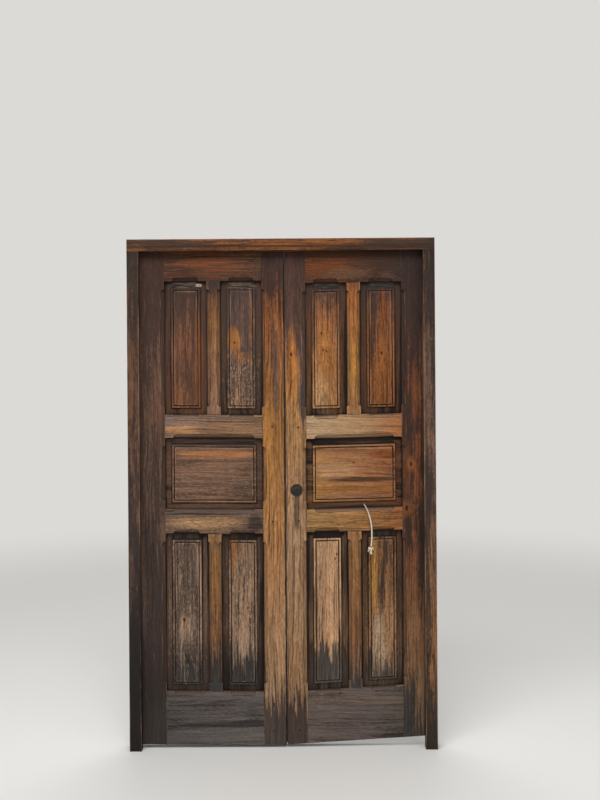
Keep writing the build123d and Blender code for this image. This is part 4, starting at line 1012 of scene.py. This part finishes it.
stop_depth = 0.007
stop_low, stop_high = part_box("pull_cord_stop_knot")
stop_x, stop_z = [(stop_low[axis] + stop_high[axis]) / 2 for axis in (0, 2)]
stop_centre = Vector((stop_x, stop_high[1] - stop_depth, stop_z))
stop_start = Vector((stop_x, stop_low[1], stop_z))
stop_turns = overhand_turns(stop_centre - Vector((0, 0.0005, 0)), size=0.0017, lobe=2.0, depth=0.0028)
stop_knot = tie_knot("stop_knot", [([stop_start, stop_centre], [string_diameter / 2] * 2, 12),
                                   (stop_turns, [0.0024] * len(stop_turns), 8)], "pull_cord_stop_knot")

# The stage: a round floor of pale matt paper, so wide that from every side it runs into an even
# pale sky. Away from the object the paper is drawn in the sky's own colour, so no edge shows.
floor_radius = 14.0
floor_corners = 64
rim = [(floor_radius * math.cos(a), floor_radius * math.sin(a), 0.0)
       for a in (math.tau * k / floor_corners for k in range(floor_corners))]
floor_mesh = bpy.data.meshes.new("studio_floor")
floor_mesh.from_pydata(rim, [], [list(range(floor_corners))])
new_object("studio_floor", floor_mesh)

backdrop_colour = "#dcdad6"
paper, paper_node = new_material("matt_backdrop_paper")
floor_point = paper_node("TexCoord").outputs["Object"]
away = paper_node("VectorMath", {0: floor_point}, operation="LENGTH").outputs["Value"]
away = paper_node("MapRange", {0: away, 1: 1.6, 2: 7.0}, interpolation_type="SMOOTHERSTEP")
ray = paper_node("LightPath").outputs
seen = paper_node("Math", {0: ray["Is Camera Ray"], 1: ray["Is Glossy Ray"]}, operation="MAXIMUM")
sky_share = paper_node("Math", {0: away, 1: seen}, operation="MULTIPLY")
matt_paper = paper_node("BsdfPrincipled", {"Base Color": backdrop_colour, "Roughness": 0.95})
as_sky = paper_node("Emission", {"Color": backdrop_colour})
as_drawn = paper_node("MixShader", {0: sky_share, 1: matt_paper, 2: as_sky})
paper_node("OutputMaterial", {"Surface": as_drawn})
floor_mesh.materials.append(paper)

# The light: an overcast sky that fills the shadows, and three soft lamps from above, the side
# and the room. What the camera sees of the sky is the backdrop's colour.
sky = bpy.data.worlds.new("pale_sky")
sky.use_nodes = True
sky.node_tree.nodes.clear()
sky_node = partial(add_node, sky.node_tree)
sky_light = sky_node("Background", {"Color": "#eef0f2", "Strength": 0.52})
ray = sky_node("LightPath").outputs
seen = sky_node("Math", {0: ray["Is Camera Ray"], 1: ray["Is Glossy Ray"]}, operation="MAXIMUM")
seen = sky_node("Math", {0: seen, 1: ray["Is Transmission Ray"]}, operation="MAXIMUM")
backdrop = sky_node("Background", {"Color": backdrop_colour, "Strength": 1.0})
sky_drawn = sky_node("MixShader", {0: seen, 1: sky_light, 2: backdrop})
sky_node("OutputWorld", {"Surface": sky_drawn})
bpy.context.scene.world = sky


def soft_light(name, place, target, size, watts):
    """Adds a wide lamp that points at a target and isn't seen itself."""
    lamp = bpy.data.lights.new(name, "AREA")
    lamp.shape = "RECTANGLE"
    lamp.size, lamp.size_y = size
    lamp.energy = watts
    light = new_object(name, lamp)
    light.location = place
    light.rotation_euler = (Vector(target) - Vector(place)).to_track_quat("-Z", "Y").to_euler()
    light.visible_camera = False


soft_light("overhead_softbox", place=(-0.6, -2.4, 4.6), target=(0.0, 0.0, 1.1), size=(3.0, 1.6), watts=150)
soft_light("side_fill", place=(3.2, -3.4, 1.8), target=(0.0, 0.0, 1.0), size=(2.0, 2.4), watts=30)
soft_light("room_fill", place=(0.0, 1.6, 4.8), target=(0.0, 0.0, 1.1), size=(2.4, 1.6), watts=60)

# The camera stands where the photograph was taken from: 3.5 m in front of the leaves, at a
# standing person's eye height. It looks straight ahead, rolled by less than half a degree.
camera_right, camera_away, eye_height = 0.078, 3.52, 1.478
camera_roll = 0.4
lens = bpy.data.cameras.new("view")
lens.sensor_fit = "VERTICAL"
lens.sensor_height = 36
lens.lens = 37.03
camera = new_object("view", lens)
camera.location = (camera_right, -camera_away, eye_height)
camera.rotation_euler = (math.radians(90), math.radians(camera_roll), 0)
bpy.context.scene.camera = camera
bpy.context.scene.view_settings.view_transform = "Standard"
